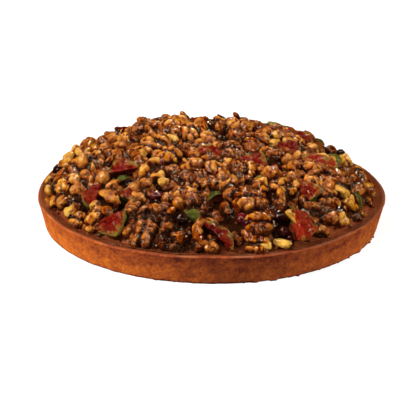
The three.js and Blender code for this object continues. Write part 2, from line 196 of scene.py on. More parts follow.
# Pale blanched pieces between the nuts: bearing and distance from the middle, lift, turn, roll,
# length and width.
PALE_NUTS = np.array([
    (213, 134, 4.5, 20, 10, 9.5, 9),
    (301, 124, 8.5, 150, 25, 16, 8),
    (293, 142, 4.5, 150, 20, 14, 7),
    (287.5, 141, 4, 10, 0, 9.5, 7.5),
    (330, 119, 8, 160, 0, 12, 8),
    (172, 122, 8, 30, 30, 11, 6.5),
    (200, 64, 8.5, 60, 0, 10, 8.5),
    (244, 88, 8, 100, 20, 10, 8),
    (20, 58, 8, 40, 0, 10, 7),
    (150, 40, 8, 120, 0, 11, 7.5),
], float)

# ---- Sizes shared by the pieces ----

# Length, width and height of each kind of nut, the share of draws up to which a kind is taken,
# and what the pieces of each kind are called.
NUT_SIZES = {
    "half": (27, 21, 13),
    "open": (27, 22, 12),
    "crescent": (25, 12, 12),
    "chunk": (13, 11, 9),
    "hazelnut": (11.5, 11.5, 11),
}
NUT_MIX = [("half", 0.3), ("open", 0.48), ("crescent", 0.74), ("chunk", 0.9), ("hazelnut", 1)]
NUT_TITLES = {
    "half": "walnut_halves",
    "open": "walnut_hollows",
    "crescent": "walnut_lobes",
    "chunk": "nut_chunks",
    "hazelnut": "hazelnuts",
}
BED_KINDS = ("crescent", "chunk", "crescent", "chunk", "half", "open")
EDGE_KINDS = ("chunk", "crescent", "chunk", "hazelnut")

# The spread of the top course. A nut rolls and pitches by up to half of its tumble either way.
SPREAD_COUNT = 170
SPREAD_START = 75
SPREAD_STRAY = 4
SPREAD_LIFT = (3.5, 6)
SPREAD_CROWDING = 0.3
SPREAD_SIZES = (0.8, 1.05)
TUMBLE = 60

# The bed, the small pieces along the rim, and the crumbs. Closeness is how much of the width of
# figs and berries the bed keeps clear of.
BED_START = 10
BED_SIZES = (0.72, 1.12)
BED_LIFT = (-2.8, 0.7)
BED_CROWDING = 0.12
BED_CLOSENESS = 0.86
EDGE_SIZES = (0.36, 0.7)
CRUMB_COUNT = 800
CRUMB_START = 40

# Radius of the heap and of its bed and syrup, the distances over which the syrup comes down to
# the ring of caramel, and that ring's level. The mound's rise is less towards +X by its lean.
HEAP_RADIUS = 142
BED_RADIUS = 141
HEAP_FOOT = (133, 141)
RING_LEVEL = 25.0
MOUND_LEAN = 0.09
SYRUP_DROP = 4.6
RASTER_CELL = 1.5
RASTER_HALF = 150

FIG_WEDGE_ANGLE = 84
FIG_LIFT = 0.28
BERRY_RADIUS = 4.9
BERRY_LIFT = 4.7
CRANBERRY_SIZE = (13, 8.6, 7.4)
CRANBERRY_LIFT = 3.8

# Roundings of the case's foot, rim and inner lip, and the radius within which it stays flat.
FOOT_ROUND = 1.1
RIM_ROUND = 1.6
LIP_ROUND = 1.4
FLAT_MIDDLE = 60

# The film of caramel over the rim: how far out from the wall's inner edge, and how far above the
# filling's level.
CARAMEL_FILM = (
    (-0.15, -0.2),
    (0.4, 0.5),
    (1.5, 0.85),
    (1.7, 1),
    (1.3, 1.05),
    (0.3, 0.8),
    (-0.9, 0.4),
    (-2.2, 0.1),
)

# Repeatable draws: the channel of each thing that is drawn, and where a set's indices start. The
# channels of the pieces along the rim say whether one is left out, its turn, roll and pitch.
AROUND, OUTWARD, KIND, TURN, ROLL, PITCH, SIZE, LIFT, PICK, TONE = range(1, 11)
GRAIN_SHIFTS = (11, 12, 13)
EDGE_CHANNELS = (4, 5, 6, 8)
FIRST_DRAWS = {
    "bed": 2000,
    "edge": 4000,
    "berries": 9000,
    "cranberries": 9500,
    "pale nuts": 9700,
    "crumbs": 20000,
}

# The stage. Lamps have a name, a bearing, an elevation and a strength. Keys also have the angle
# that they span and a colour; they light the surfaces and aren't mirrored. Glints are only seen
# mirrored in the glaze.
FLOOR_HALF = 3800
FLOOR_GREY = 0.3
FLOOR_GLOW = 0.82
SCREEN_RADIUS = 5000
WORLD_GLOW = 0.28
KEY_LAMPS = (
    ("left key", 194, 30, 1.3, 16, (1.0, 0.97, 0.92)),
    ("right key", 350, 30, 0.7, 16, (1.0, 0.97, 0.92)),
    ("overhead", 225, 62, 0.27, 12, (1.0, 1.0, 1.0)),
)
GLINT_LAMPS = (
    ("left glint", 200, 38, 0.4928),
    ("front left glint", 238, 56, 0.3872),
    ("front right glint", 300, 52, 0.352),
    ("right glint", 342, 36, 0.3872),
    ("back glint", 85, 48, 0.44),
)
GLINT_SPAN = 8
GLINT_COLOUR = (1, 0.78, 0.54)

# The camera, in metres, degrees and pixels of the photograph's square frame.
CAMERA_REACH = 1.2
CAMERA_ELEVATION = 20.53
CAMERA_ROLL = 0.54
RIM_MIDDLE = 0.0253
RIM_MIDDLE_PIXEL = (211.4, 189.1)
FOCAL_PIXELS = 1382.4
FRAME_PIXELS = 420


class TartSizes(bpy.types.PropertyGroup):
    """The sizes that shape the whole tart."""

    rim_radius: FloatProperty(
        name="Rim radius",
        description="Outer radius of the pastry case at its rim",
        default=0.15,
        unit="LENGTH",
    )
    foot_radius: FloatProperty(
        name="Foot radius",
        description="Outer radius of the pastry case where it stands",
        default=0.1442,
        unit="LENGTH",
    )
    wall_height: FloatProperty(
        name="Wall height",
        description="Height of the pastry wall",
        default=0.0255,
        unit="LENGTH",
    )
    rim_thickness: FloatProperty(
        name="Rim thickness",
        description="Thickness of the pastry wall",
        default=0.0046,
        unit="LENGTH",
    )
    floor_thickness: FloatProperty(
        name="Floor thickness",
        description="Thickness of the pastry floor",
        default=0.005,
        unit="LENGTH",
    )
    mound_rise: FloatProperty(
        name="Mound rise",
        description="Height of the bare mound above the rim",
        default=0.03,
        unit="LENGTH",
    )
    mound_radius: FloatProperty(
        name="Mound radius",
        description="Radius of the bare mound at its foot",
        default=0.138,
        unit="LENGTH",
    )
    bed_nuts: IntProperty(
        name="Bed nuts",
        description="Number of places for the nuts that fill the gaps of the heap",
        default=380,
        min=0,
    )


class TartColours(bpy.types.PropertyGroup):
    """The colours of the tart's finishes."""

    crust_pale: FloatVectorProperty(
        name="Crust, pale",
        description="Least baked colour of the pastry",
        subtype="COLOR",
        default=(0.77, 0.192, 0.0185),
    )
    crust_dark: FloatVectorProperty(
        name="Crust, dark",
        description="Most baked colour of the pastry",
        subtype="COLOR",
        default=(0.22, 0.034, 0.0125),
    )
    caramel: FloatVectorProperty(
        name="Caramel",
        description="Colour of the caramel filling",
        subtype="COLOR",
        default=(0.205, 0.047, 0.0155),
    )
    # The syrup's brown, darkened to near black as painted shade for the depths of the heap.
    syrup: FloatVectorProperty(
        name="Syrup",
        description="Colour of the syrup in the depths of the heap",
        subtype="COLOR",
        default=(0.038, 0.010, 0.003),
    )
    nut_gold: FloatVectorProperty(
        name="Nut, gold",
        description="Colour of the folds of the glazed walnuts",
        subtype="COLOR",
        default=(0.60, 0.225, 0.025),
    )
    nut_brown: FloatVectorProperty(
        name="Nut, brown",
        description="Colour of the flanks of the glazed walnuts",
        subtype="COLOR",
        default=(0.135, 0.028, 0.0055),
    )


# ---- Grids, noise and meshes ----


def draw(index, channel):
    """A repeatable draw from 0 to 1: the fraction that is left of a large multiple of a sine."""
    value = np.sin(np.asarray(index, float) * 12.9898 + channel * 78.233) * 43758.5453
    return value - np.floor(value)


def ball_grid(rings, columns):
    """A grid that closes to a corner at both ends, as the meridians of a globe do.

    Returns, for each corner, the share of the way from end to end and round, and the triangles.
    """
    along = np.repeat(np.linspace(0, 1, rings + 2)[1:-1], columns)
    around = np.tile(np.arange(columns) / columns, rings)
    along = np.concatenate([[0], along, [1]])
    around = np.concatenate([[0], around, [0]])
    here = 1 + np.arange(columns)
    there = 1 + (np.arange(columns) + 1) % columns
    last = len(along) - 1
    shift = (rings - 1) * columns
    fans = [
        np.stack([np.zeros_like(here), there, here], 1),
        np.stack([np.full_like(here, last), here + shift, there + shift], 1),
    ]
    bands = np.arange(rings - 1)[:, None] * columns
    a, b = (here + bands).ravel(), (there + bands).ravel()
    c, d = b + columns, a + columns
    return along, around, np.concatenate([*fans, np.stack([a, b, c], 1), np.stack([a, c, d], 1)])


def lattice(cell, seed):
    """Repeatable values from -1 to 1 at the whole-number points of space."""
    value = np.sin(cell @ np.array([127.1, 311.7, 74.7]) + seed * 61.7) * 43758.5453
    return 2 * (value - np.floor(value)) - 1


def noise(points, spacing, seed=0):
    """Smooth noise from -1 to 1: values on a lattice, blended by a smooth step on each axis."""
    place = points / spacing + 0.37 * seed
    cell = np.floor(place)
    share = place - cell
    share = share * share * (3 - 2 * share)
    total = np.zeros(len(points))
    for corner in itertools.product((0.0, 1.0), repeat=3):
        weight = np.where(np.array(corner) > 0, share, 1 - share).prod(1)
        total += weight * lattice(cell + corner, seed)
    return total


def corner_normals(points, triangles):
    """The mean direction of the triangles round each corner, each weighed by its area."""
    a, b, c = (points[triangles[:, i]] for i in range(3))
    facing = np.cross(b - a, c - a)
    normals = np.zeros_like(points)
    for i in range(3):
        np.add.at(normals, triangles[:, i], facing)
    return normals / (np.linalg.norm(normals, axis=1, keepdims=True) + TINY)


def outward(points, triangles):
    """The triangles, turned so that the closed shape they bound has a positive volume."""
    a, b, c = (points[triangles[:, i]] for i in range(3))
    volume = np.einsum("ij,ij->i", a, np.cross(b, c)).sum()
    return triangles if volume > 0 else triangles[:, ::-1]


def crests(points, triangles, rounds, reach):
    """How far each corner stands out of the shape's own average, from 0 in a dent to 1.

    The average is the shape after some rounds in which every corner moves to the mean of its
    neighbours. The stand-out is measured along the normal, and `reach` millimetres give 1.
    """
    ends = np.concatenate([triangles[:, [0, 1]], triangles[:, [1, 2]], triangles[:, [2, 0]]])
    count = np.bincount(ends[:, 0], minlength=len(points))[:, None]
    average = points
    for _ in range(rounds):
        total = np.stack([
            np.bincount(ends[:, 0], average[ends[:, 1], axis], len(points)) for axis in range(3)
        ], 1)
        average = 0.5 * average + 0.5 * total / count
    stand = ((points - average) * corner_normals(points, triangles)).sum(1)
    return smooth_step(stand, -reach, reach)


def smooth_step(value, low, high):
    """0 below `low`, 1 above `high`, and an S-shaped climb between them."""
    share = np.clip((value - low) / (high - low), 0, 1)
    return share * share * (3 - 2 * share)


def bump(value, width):
    """1 at zero, falling off on both sides as a bell curve of this width."""
    return np.exp(-((value / width) ** 2))


def in_millimetres(length):
    """A length of the sidebar, kept in metres and single precision, as millimetres."""
    return round(length / MILLIMETRE, 4)


def kept_in_box(points):
    """The corners, with the few that would leave the solids' box moved onto its sides."""
    low, high = (np.array(corner) / MILLIMETRE for corner in (CAD_LOW, CAD_HIGH))
    return np.clip(points, low, high)


def make_piece(name, points, triangles, layers, slot, material, replaced):
    """Writes corners in millimetres and triangles into a smooth mesh that rides the tart.

    `layers` holds the named values, or vectors, that the material reads at each corner.
    """
    mesh = bpy.data.meshes.new(name)
    mesh.vertices.add(len(points))
    mesh.vertices.foreach_set("co", (kept_in_box(points) * MILLIMETRE).ravel())
    mesh.loops.add(triangles.size)
    mesh.loops.foreach_set("vertex_index", triangles.ravel().astype(np.int32))
    mesh.polygons.add(len(triangles))
    mesh.polygons.foreach_set("loop_start", np.arange(0, triangles.size, 3, dtype=np.int32))
    mesh.update(calc_edges=True)
    mesh.shade_smooth()
    for layer, values in layers.items():
        values = np.asarray(values, np.float32)
        kind, field = ("FLOAT_VECTOR", "vector") if values.ndim == 2 else ("FLOAT", "value")
        mesh.attributes.new(layer, kind, "POINT").data.foreach_set(field, values.ravel())
    mesh.materials.append(material)
    piece = bpy.data.objects.new(name, mesh)
    bpy.context.scene.collection.objects.link(piece)
    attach(piece, "root")
    if replaced:
        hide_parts(*replaced)
    return piece


# ---- The mound that everything lies on ----


def mound_height(x, y):
    """The rim's height plus a dome that falls off as the fifth power of the distance and leans."""
    sizes = bpy.context.scene.tart_sizes
    lengths = (sizes.wall_height, sizes.mound_rise, sizes.mound_radius)
    rim, rise, radius = (in_millimetres(length) for length in lengths)
    share = np.minimum(np.hypot(x, y) / radius, 1)
    return rim + rise * (1 - MOUND_LEAN * x / radius) * (1 - share**5)


def mound_places(bearing, distance, lift, turn, roll=0.0, pitch=0.0):
    """Turning matrices and origins of pieces laid on the mound.

    A piece's Z axis leaves the surface and its X axis points to `turn` as seen from above. It
    then rolls about X and pitches about Y. `lift` is measured along the surface's normal.
    """
    values = (bearing, distance, lift, turn, roll, pitch)
    values = np.broadcast_arrays(*(np.atleast_1d(np.asarray(value, float)) for value in values))
    bearing, distance, lift, turn, roll, pitch = values
    bearing, turn, roll, pitch = (np.radians(v) for v in (bearing, turn, roll, pitch))
    x, y = distance * np.cos(bearing), distance * np.sin(bearing)
    step = 0.5
    up = np.stack([
        mound_height(x - step, y) - mound_height(x + step, y),
        mound_height(x, y - step) - mound_height(x, y + step),
        np.full_like(x, 2 * step),
    ], 1)
    up /= np.linalg.norm(up, axis=1, keepdims=True)
    along = np.stack([np.cos(turn), np.sin(turn), np.zeros_like(turn)], 1)
    along -= up * (along * up).sum(1, keepdims=True)
    along /= np.linalg.norm(along, axis=1, keepdims=True)
    basis = np.stack([along, np.cross(up, along), up], 2)
    zero, one = np.zeros_like(x), np.ones_like(x)
    rolled = np.array([
        [one, zero, zero],
        [zero, np.cos(roll), -np.sin(roll)],
        [zero, np.sin(roll), np.cos(roll)],
    ]).transpose(2, 0, 1)
    pitched = np.array([
        [np.cos(pitch), zero, np.sin(pitch)],
        [zero, one, zero],
        [-np.sin(pitch), zero, np.cos(pitch)],
    ]).transpose(2, 0, 1)
    origin = np.stack([x, y, mound_height(x, y)], 1) + up * lift[:, None]
    return basis @ rolled @ pitched, origin


# ---- Nuts ----


def folded(points, triangles, course, spacing, depth, seed):
    """Raises winding rounded lobes on a surface, as on a walnut.

    `course` is a length that grows across the lobes. The cosine of pi times that length over the
    spacing is bent and broken up by noise. A crease runs wherever the sum passes through zero,
    and between two creases the surface rises as a quarter of a circle does. Broad swellings and
    the grains of the glaze are added.
    """
    bent = course + spacing * noise(points, 1.6 * spacing, seed)
    field = 0.6 * np.cos(np.pi * bent / spacing) + 1.1 * noise(points, 0.85 * spacing, seed + 3)
    lobes = np.sqrt(1 - (1 - np.minimum(np.abs(field), 1)) ** 2)
    swell = noise(points, 1.5 * spacing, seed + 5) + 0.35 * noise(points, 2.9, seed + 9)
    normals = corner_normals(points, outward(points, triangles))
    return points + normals * (swell + depth * (lobes - 0.7))[:, None]


def full_ball(along, around, fullness):
    """Directions on a ball with its ends on X, pushed towards a rounded box by `fullness`."""
    polar, azimuth = np.pi * along, 2 * np.pi * around
    ball = np.stack([
        -np.cos(polar),
        np.sin(polar) * np.cos(azimuth),
        np.sin(polar) * np.sin(azimuth),
    ], 1)
    return ball / (np.abs(ball) ** fullness).sum(1, keepdims=True) ** (1 / fullness)


def walnut_back(grid, seed):
    """A walnut half with its back up.

    A rounded ball, flatter below, with a groove along its middle and a notch at each end. Its
    folds run across it, from the groove outwards to both sides, and lean towards one end.
    """
    along, around, triangles = grid
    length, width, height = NUT_SIZES["half"]
    ball = full_ball(along, around, 2.4)
    x, y, z = ball.T
    notch = 1 - 0.26 * bump(y, 0.26) * smooth_step(np.abs(x), 0.4, 1)
    middle = y + 0.07 * np.sin(4 * x + seed)
    groove = bump(middle, 0.17) * smooth_step(z, -0.2, 0.4)
    points = np.stack([
        x * length / 2 * notch,
        y * width / 2,
        np.where(z > 0, z * height / 2 * 1.15, z * height / 2 * 0.8) - 3.2 * groove,
    ], 1)
    course = points[:, 0] + (draw(seed, 1) - 0.5) * 1.4 * np.abs(points[:, 1])
    return folded(points, triangles, course, 6.2, 1.9, seed)


def walnut_hollow(grid, seed):
    """A walnut half with its hollow up.

    Seen from above, the distance from the middle runs from 0 to 1 and back. The upper side is a
    thick ring whose section is half a circle, with a ridge through the hollow that it leaves.
    The ring sinks where the two lobes part, and broad folds run across it. At the outer edge the
    upper and lower side come together.
    """
    along, around, triangles = grid
    length, width, height = NUT_SIZES["open"]
    polar, azimuth = np.pi * along, 2 * np.pi * around
    reach = np.sin(polar) ** 0.8
    upper = along < 0.5
    ring = np.sqrt(np.clip(1 - ((reach - 0.68) / 0.32) ** 2, 0, 1))
    gap = azimuth - 2 * np.pi * draw(seed, 2)
    parting = 0.5 * bump(np.sin(azimuth), 0.26) + 1.3 * bump(np.sin(gap / 2), 0.2)
    ridge_line = bump(reach * np.sin(azimuth), 0.17) * (1 - ring)
    level = 1 + 0.2 * np.sin(3 * azimuth + seed)
    raised = 1.6 * ring * level * (1 - np.minimum(parting, 1))
    top = height / 2 * (-0.4 + raised + 0.6 * ridge_line)
    bottom = -height / 2 * np.sqrt(np.clip(1 - reach**2, 0, 1))
    waist = 1 - 0.2 * bump(np.sin(azimuth), 0.3)
    join = smooth_step(reach, 0.96, 1.0)
    points = np.stack([
        reach * np.cos(azimuth) * length / 2 * waist,
        reach * np.sin(azimuth) * width / 2,
        np.where(upper, top * (1 - join), bottom * (1 - join)),
    ], 1)
    course = azimuth * 0.68 * (length + width) / 4 + 6 * reach
    return folded(points, triangles, course, 6.4, 1.6, seed)


def walnut_lobe(grid, seed, arc, stout):
    """A broken walnut lobe: a rod carried along an arc of a circle.

    Its half thickness falls off towards both ends as the root of one minus a power of the way
    along, and swells in lumps on the way. Shallow folds run across it.
    """
    along, around, triangles = grid
    length, width, height = NUT_SIZES["crescent"]
    bend = math.radians(arc) / 2
    radius = length / 2 / math.radians(62)
    reach = -np.cos(np.pi * along)
    thick = np.sqrt(np.clip(1 - np.abs(reach) ** 2.6, 0, 1))
    thick = thick * (1 + 0.18 * np.sin(6 * reach + seed) + 0.1 * np.sin(13 * reach + 2 * seed))
    thick = thick * stout
    side = thick * np.cos(2 * np.pi * around) * width / 2
    up = thick * np.sin(2 * np.pi * around) * height / 2
    angle = reach * bend
    rise = 1.8 * np.sin(2.2 * reach + seed)
    points = np.stack([
        np.sin(angle) * (radius + side),
        np.cos(angle) * (radius + side) - radius * 0.8,
        up + rise,
    ], 1)
    knobs = 1 + 0.22 * noise(points, 4.2, seed + 7)[:, None]
    centre = np.stack([np.sin(angle) * radius, np.cos(angle) * radius - radius * 0.8, rise], 1)
    points = centre + (points - centre) * knobs
    return folded(points, triangles, angle * radius + 0.6 * side, 6.2, 1.2, seed)


def nut_chunk(grid, seed):
    """A crumb of nut: a boxy ball with a few broad dents and shallow folds."""
    along, around, triangles = grid
    length, width, height = NUT_SIZES["chunk"]
    ball = full_ball(along, around, 3.4)
    lumps = 1 + 0.32 * noise(ball * 5, 3.8, seed)
    points = ball * lumps[:, None] * [length / 2, width / 2, height / 2]
    return folded(points, triangles, points[:, 0], 4.8, 1.0, seed)


def hazelnut(grid, seed):
    """A skinned hazelnut: a ball with a blunt point, broad dents and small ones."""
    along, around, _ = grid
    length, width, height = NUT_SIZES["hazelnut"]
    ball = full_ball(along, around, 2.1)
    point = 1 + 0.14 * bump(ball[:, 0] - 1, 0.3)
    lumps = 1 + 0.16 * noise(ball * 5, 3.9, seed) + 0.08 * noise(ball * 5, 1.6, seed + 1)
    return ball * (point * lumps)[:, None] * [length / 2, width / 2, height / 2]


# Each kind of nut: the function of its variants, its grid in the top course and in the bed, and
# what tells the variants apart. A lobe's variants have an arc and a stoutness.
LOBES = (
    (124, 0.92),
    (150, 0.8),
    (96, 0.9),
    (200, 0.66),
    (124, 0.75),
    (70, 0.85),
    (230, 0.6),
    (110, 1.0),
)
NUT_KINDS = {
    "half": (walnut_back, (40, 54), (26, 34), [(seed,) for seed in range(1, 9)]),
    "open": (walnut_hollow, (44, 54), (26, 34), [(seed,) for seed in range(11, 19)]),
    "crescent": (walnut_lobe, (44, 28), (32, 20), [
        (seed, *lobe) for seed, lobe in enumerate(LOBES, 21)]),
    "chunk": (nut_chunk, (18, 24), (14, 18), [(seed,) for seed in range(31, 39)]),
    "hazelnut": (hazelnut, (16, 22), (12, 16), [(seed,) for seed in range(41, 44)]),
}


def flat_place(bearing, distance):
    """X and Y at a bearing and distance from the middle."""
    bearing = math.radians(bearing)
    return distance * math.cos(bearing), distance * math.sin(bearing)


def footprint(bearing, distance, turn, length, width):
    """A stadium seen from above: its middle, direction, half reach and half width."""
    turn = math.radians(turn)
    reach = max(length - width, 0) / 2
    return (*flat_place(bearing, distance), math.cos(turn), math.sin(turn), reach, width / 2)


def clearances(taken, x, y):
    """How far a point lies from each stadium's edge, negative inside it."""
    along = (x - taken[:, 0]) * taken[:, 2] + (y - taken[:, 1]) * taken[:, 3]
    nearest = np.clip(along, -taken[:, 4], taken[:, 4])
    dx = x - taken[:, 0] - nearest * taken[:, 2]
    dy = y - taken[:, 1] - nearest * taken[:, 3]
    return np.hypot(dx, dy) - taken[:, 5]


def topping_footprints(closeness=1.0):
    """The stadiums that the toppings take up, those of figs and berries drawn in by closeness."""
    figs = [
        footprint(b, d, t, length * closeness, 1.1 * r * closeness)
        for b, d, t, _, length, r, _ in FIGS
    ]
    berries = [footprint(b, d, 0, 0, 2 * BERRY_RADIUS * s * closeness) for b, d, s in BERRIES]
    cranberries = [
        footprint(b, d, t, CRANBERRY_SIZE[0] * s, CRANBERRY_SIZE[1] * s)
        for b, d, t, s in CRANBERRIES
    ]
    return figs + berries + cranberries


def drawn(limits, index, channel):
    """A draw between a low and a high value."""
    low, high = limits
    return low + (high - low) * draw(index, channel)


def spread_nuts(taken):
    """The nuts between the named ones, spread as the seeds of a sunflower are.

    Rows are kind, bearing, distance, lift, turn, roll, pitch and size, as in the solids. The
    distance is the heap's radius times the root of the share of nuts laid so far.
    """
    nuts = []
    for i in range(SPREAD_COUNT):
        kind = next(kind for kind, up_to in NUT_MIX if draw(i, KIND) <= up_to)
        size = drawn(SPREAD_SIZES, i, SIZE)
        spread = HEAP_RADIUS * math.sqrt((i + 0.5) / SPREAD_COUNT)
        distance = min(spread, HEAP_RADIUS - NUT_SIZES[kind][0] * size / 2)
        stray = (2 * draw(i, OUTWARD) - 1) * (SPREAD_STRAY / max(distance, 20))
        bearing = SPREAD_START + i * GOLDEN_ANGLE + math.degrees(stray)
        lift = drawn(SPREAD_LIFT, i, LIFT)
        roll, pitch = ((draw(i, channel) - 0.5) * TUMBLE for channel in (ROLL, PITCH))
        room = SPREAD_CROWDING * NUT_SIZES[kind][1] * size / 2
        if clearances(taken, *flat_place(bearing, distance)).min() >= room:
            nuts.append((kind, bearing, distance, lift, 360 * draw(i, TURN), roll, pitch, size))
    return nuts


def bed_nuts(taken, count):
    """Nuts low in the gaps of the heap, on a sunflower spread of their own, that sit deeper in
    the middle than towards the rim."""
    nuts = []
    for i in range(count):
        index = FIRST_DRAWS["bed"] + i
        kind = BED_KINDS[int(len(BED_KINDS) * draw(index, KIND))]
        size = drawn(BED_SIZES, index, SIZE)
        distance = BED_RADIUS * math.sqrt(0.004 + 0.996 * (i + 0.5) / count)
        distance = min(distance, HEAP_RADIUS - NUT_SIZES[kind][0] * size / 2)
        bearing = BED_START + i * GOLDEN_ANGLE
        room = BED_CROWDING * NUT_SIZES[kind][1] * size
        if clearances(taken, *flat_place(bearing, distance)).min() < room:
            continue
        lift = drawn(BED_LIFT, index, LIFT) + 2.6 * smooth_step(distance, 40, 95)
        roll, pitch = drawn((-55, 55), index, ROLL), drawn((-40, 40), index, PITCH)
        nuts.append((kind, bearing, distance, lift, 360 * draw(index, TURN), roll, pitch, size))
    return nuts


def edge_nuts(taken, count):
    """Small pieces that lie on the caramel along the rim, few where the ring is left bare."""
    nuts = []
    for i in range(count):
        index = FIRST_DRAWS["edge"] + i
        bearing = 360 * (i + 0.8 * draw(index, AROUND)) / count
        bare = max(bump((bearing - 212) / 22, 1), 0.8 * bump((bearing - 320) / 16, 1))
        kind = EDGE_KINDS[int(len(EDGE_KINDS) * draw(index, KIND))]
        size = drawn(EDGE_SIZES, index, SIZE)
        distance = HEAP_RADIUS - NUT_SIZES[kind][0] * size / 2 - 9 * draw(index, OUTWARD) ** 2
        left, turn, roll, pitch = (draw(index, channel) for channel in EDGE_CHANNELS)
        if left < bare or clearances(taken, *flat_place(bearing, distance)).min() < 0.2:
            continue
        lift = 0.25 * NUT_SIZES[kind][2] * size
        place = (bearing, distance, lift, 360 * turn, 120 * roll - 60, 80 * pitch - 40)
        nuts.append((kind, *place, size))
    return nuts


def heap_nuts():
    """The nuts of the top course, named and spread as in the solids, and those of the bed under
    them and along the rim."""
    named = [(*row[:6], 0.0, row[6]) for row in NAMED_NUTS]
    taken = topping_footprints() + [
        footprint(b, d, turn, NUT_SIZES[kind][0] * size, NUT_SIZES[kind][1] * size)
        for kind, b, d, _, turn, _, _, size in named
    ]
    top = named + spread_nuts(np.array(taken))
    low = np.array(topping_footprints(BED_CLOSENESS))
    count = bpy.context.scene.tart_sizes.bed_nuts
    return top, bed_nuts(low, count) + edge_nuts(low, 2 * count // 5)


def settled(bearing, distance):
    """How much deeper the nuts lie at the back right and back left, where the heap has slumped."""
    side = smooth_step(np.cos(np.radians(bearing - 28)), 0.72, 0.97)
    left = smooth_step(np.cos(np.radians(bearing - 155)), 0.75, 0.97)
    dip = bump(np.sin(np.radians(bearing - 17) / 2), 0.06)
    return (4.5 * side + 2 * left + 4 * dip) * smooth_step(distance, 82, 112)


def painted_side_light(bearing, distance):
    """How much lighter the nuts are painted on the left and at the far right of the heap, the sides
    that the key lamps shine on: painted light.
    """
    left = smooth_step(np.cos(np.radians(bearing - 196)), 0.3, 1)
    right = smooth_step(np.cos(np.radians(bearing - 352)), 0.6, 1)
    return (0.36 * left + 0.26 * right) * smooth_step(distance, 40, 105)


def scattered(shapes, grid, index, places, sizes=1.0, ridges=None, tone_and_light=None, shift=None):
    """Copies of shapes that share a grid, with a shape drawn for each index.

    `places` are turning matrices and origins. Each copy has its own tone and its own shift of the
    grain, which are drawn where none is given; for nuts the tone also holds painted light and
    shade. Returns corners, triangles and layers.
    """
    picks = (draw(index, PICK) * len(shapes)).astype(int)
    tone_and_light = draw(index, TONE) if tone_and_light is None else tone_and_light
    shift = draw(index, GRAIN_SHIFTS[0])[:, None] if shift is None else shift
    turns, origins = places
    own = np.stack(shapes)[picks]
    sized = own * np.broadcast_to(sizes, len(index))[:, None, None]
    points = np.einsum("mij,mvj->mvi", turns, sized) + origins[:, None, :]
    each = points.shape[1]
    grain = own * MILLIMETRE + shift[:, None, :]
    layers = {"tone_and_light": np.repeat(tone_and_light, each), "grain": grain.reshape(-1, 3)}
    if ridges is not None:
        layers["ridge"] = np.stack(ridges)[picks].ravel()
    triangles = outward(shapes[0], grid[2]) + np.arange(len(index))[:, None, None] * each
    return points.reshape(-1, 3), triangles.reshape(-1, 3), layers


def nut_meshes(nuts, kind, course, first):
    """Corners, triangles and layers of all nuts of one kind in a course, or None without any."""
    rows = [nut[1:] for nut in nuts if nut[0] == kind]
    if not rows:
        return None
    shape, *grids, variants = NUT_KINDS[kind]
    grid = ball_grid(*grids[course])
    shapes = [shape(grid, *variant) for variant in variants]
    triangles = outward(shapes[0], grid[2])
    # Crests make the folds lighter and the creases darker: partly syrup in the creases and partly
    # painted shade.
    ridges = [
        0.5 * crests(corners, triangles, 45, 2.0) + 0.5 * crests(corners, triangles, 8, 0.45)
        for corners in shapes
    ]
    index = first + np.arange(len(rows))
    bearing, distance, lift, turn, roll, pitch, size = np.array(rows).T
    lift = lift - settled(bearing, distance)
    places = mound_places(bearing, distance, lift, turn, roll, pitch)
    # Nuts of the bed take darker tones than those of the top course: painted shade for the lower
    # course.
    tone_and_light = 0.5 * draw(index, TONE) if course else 0.2 + 0.8 * draw(index, TONE)
    shift = np.stack([draw(index, channel) for channel in GRAIN_SHIFTS], 1)
    # Nuts on the sides of the heap that the key lamps face are painted lighter: painted light.
    tone_and_light = tone_and_light + painted_side_light(bearing, distance)
    return scattered(shapes, grid, index, places, size, ridges, tone_and_light, shift)


# ---- Materials ----


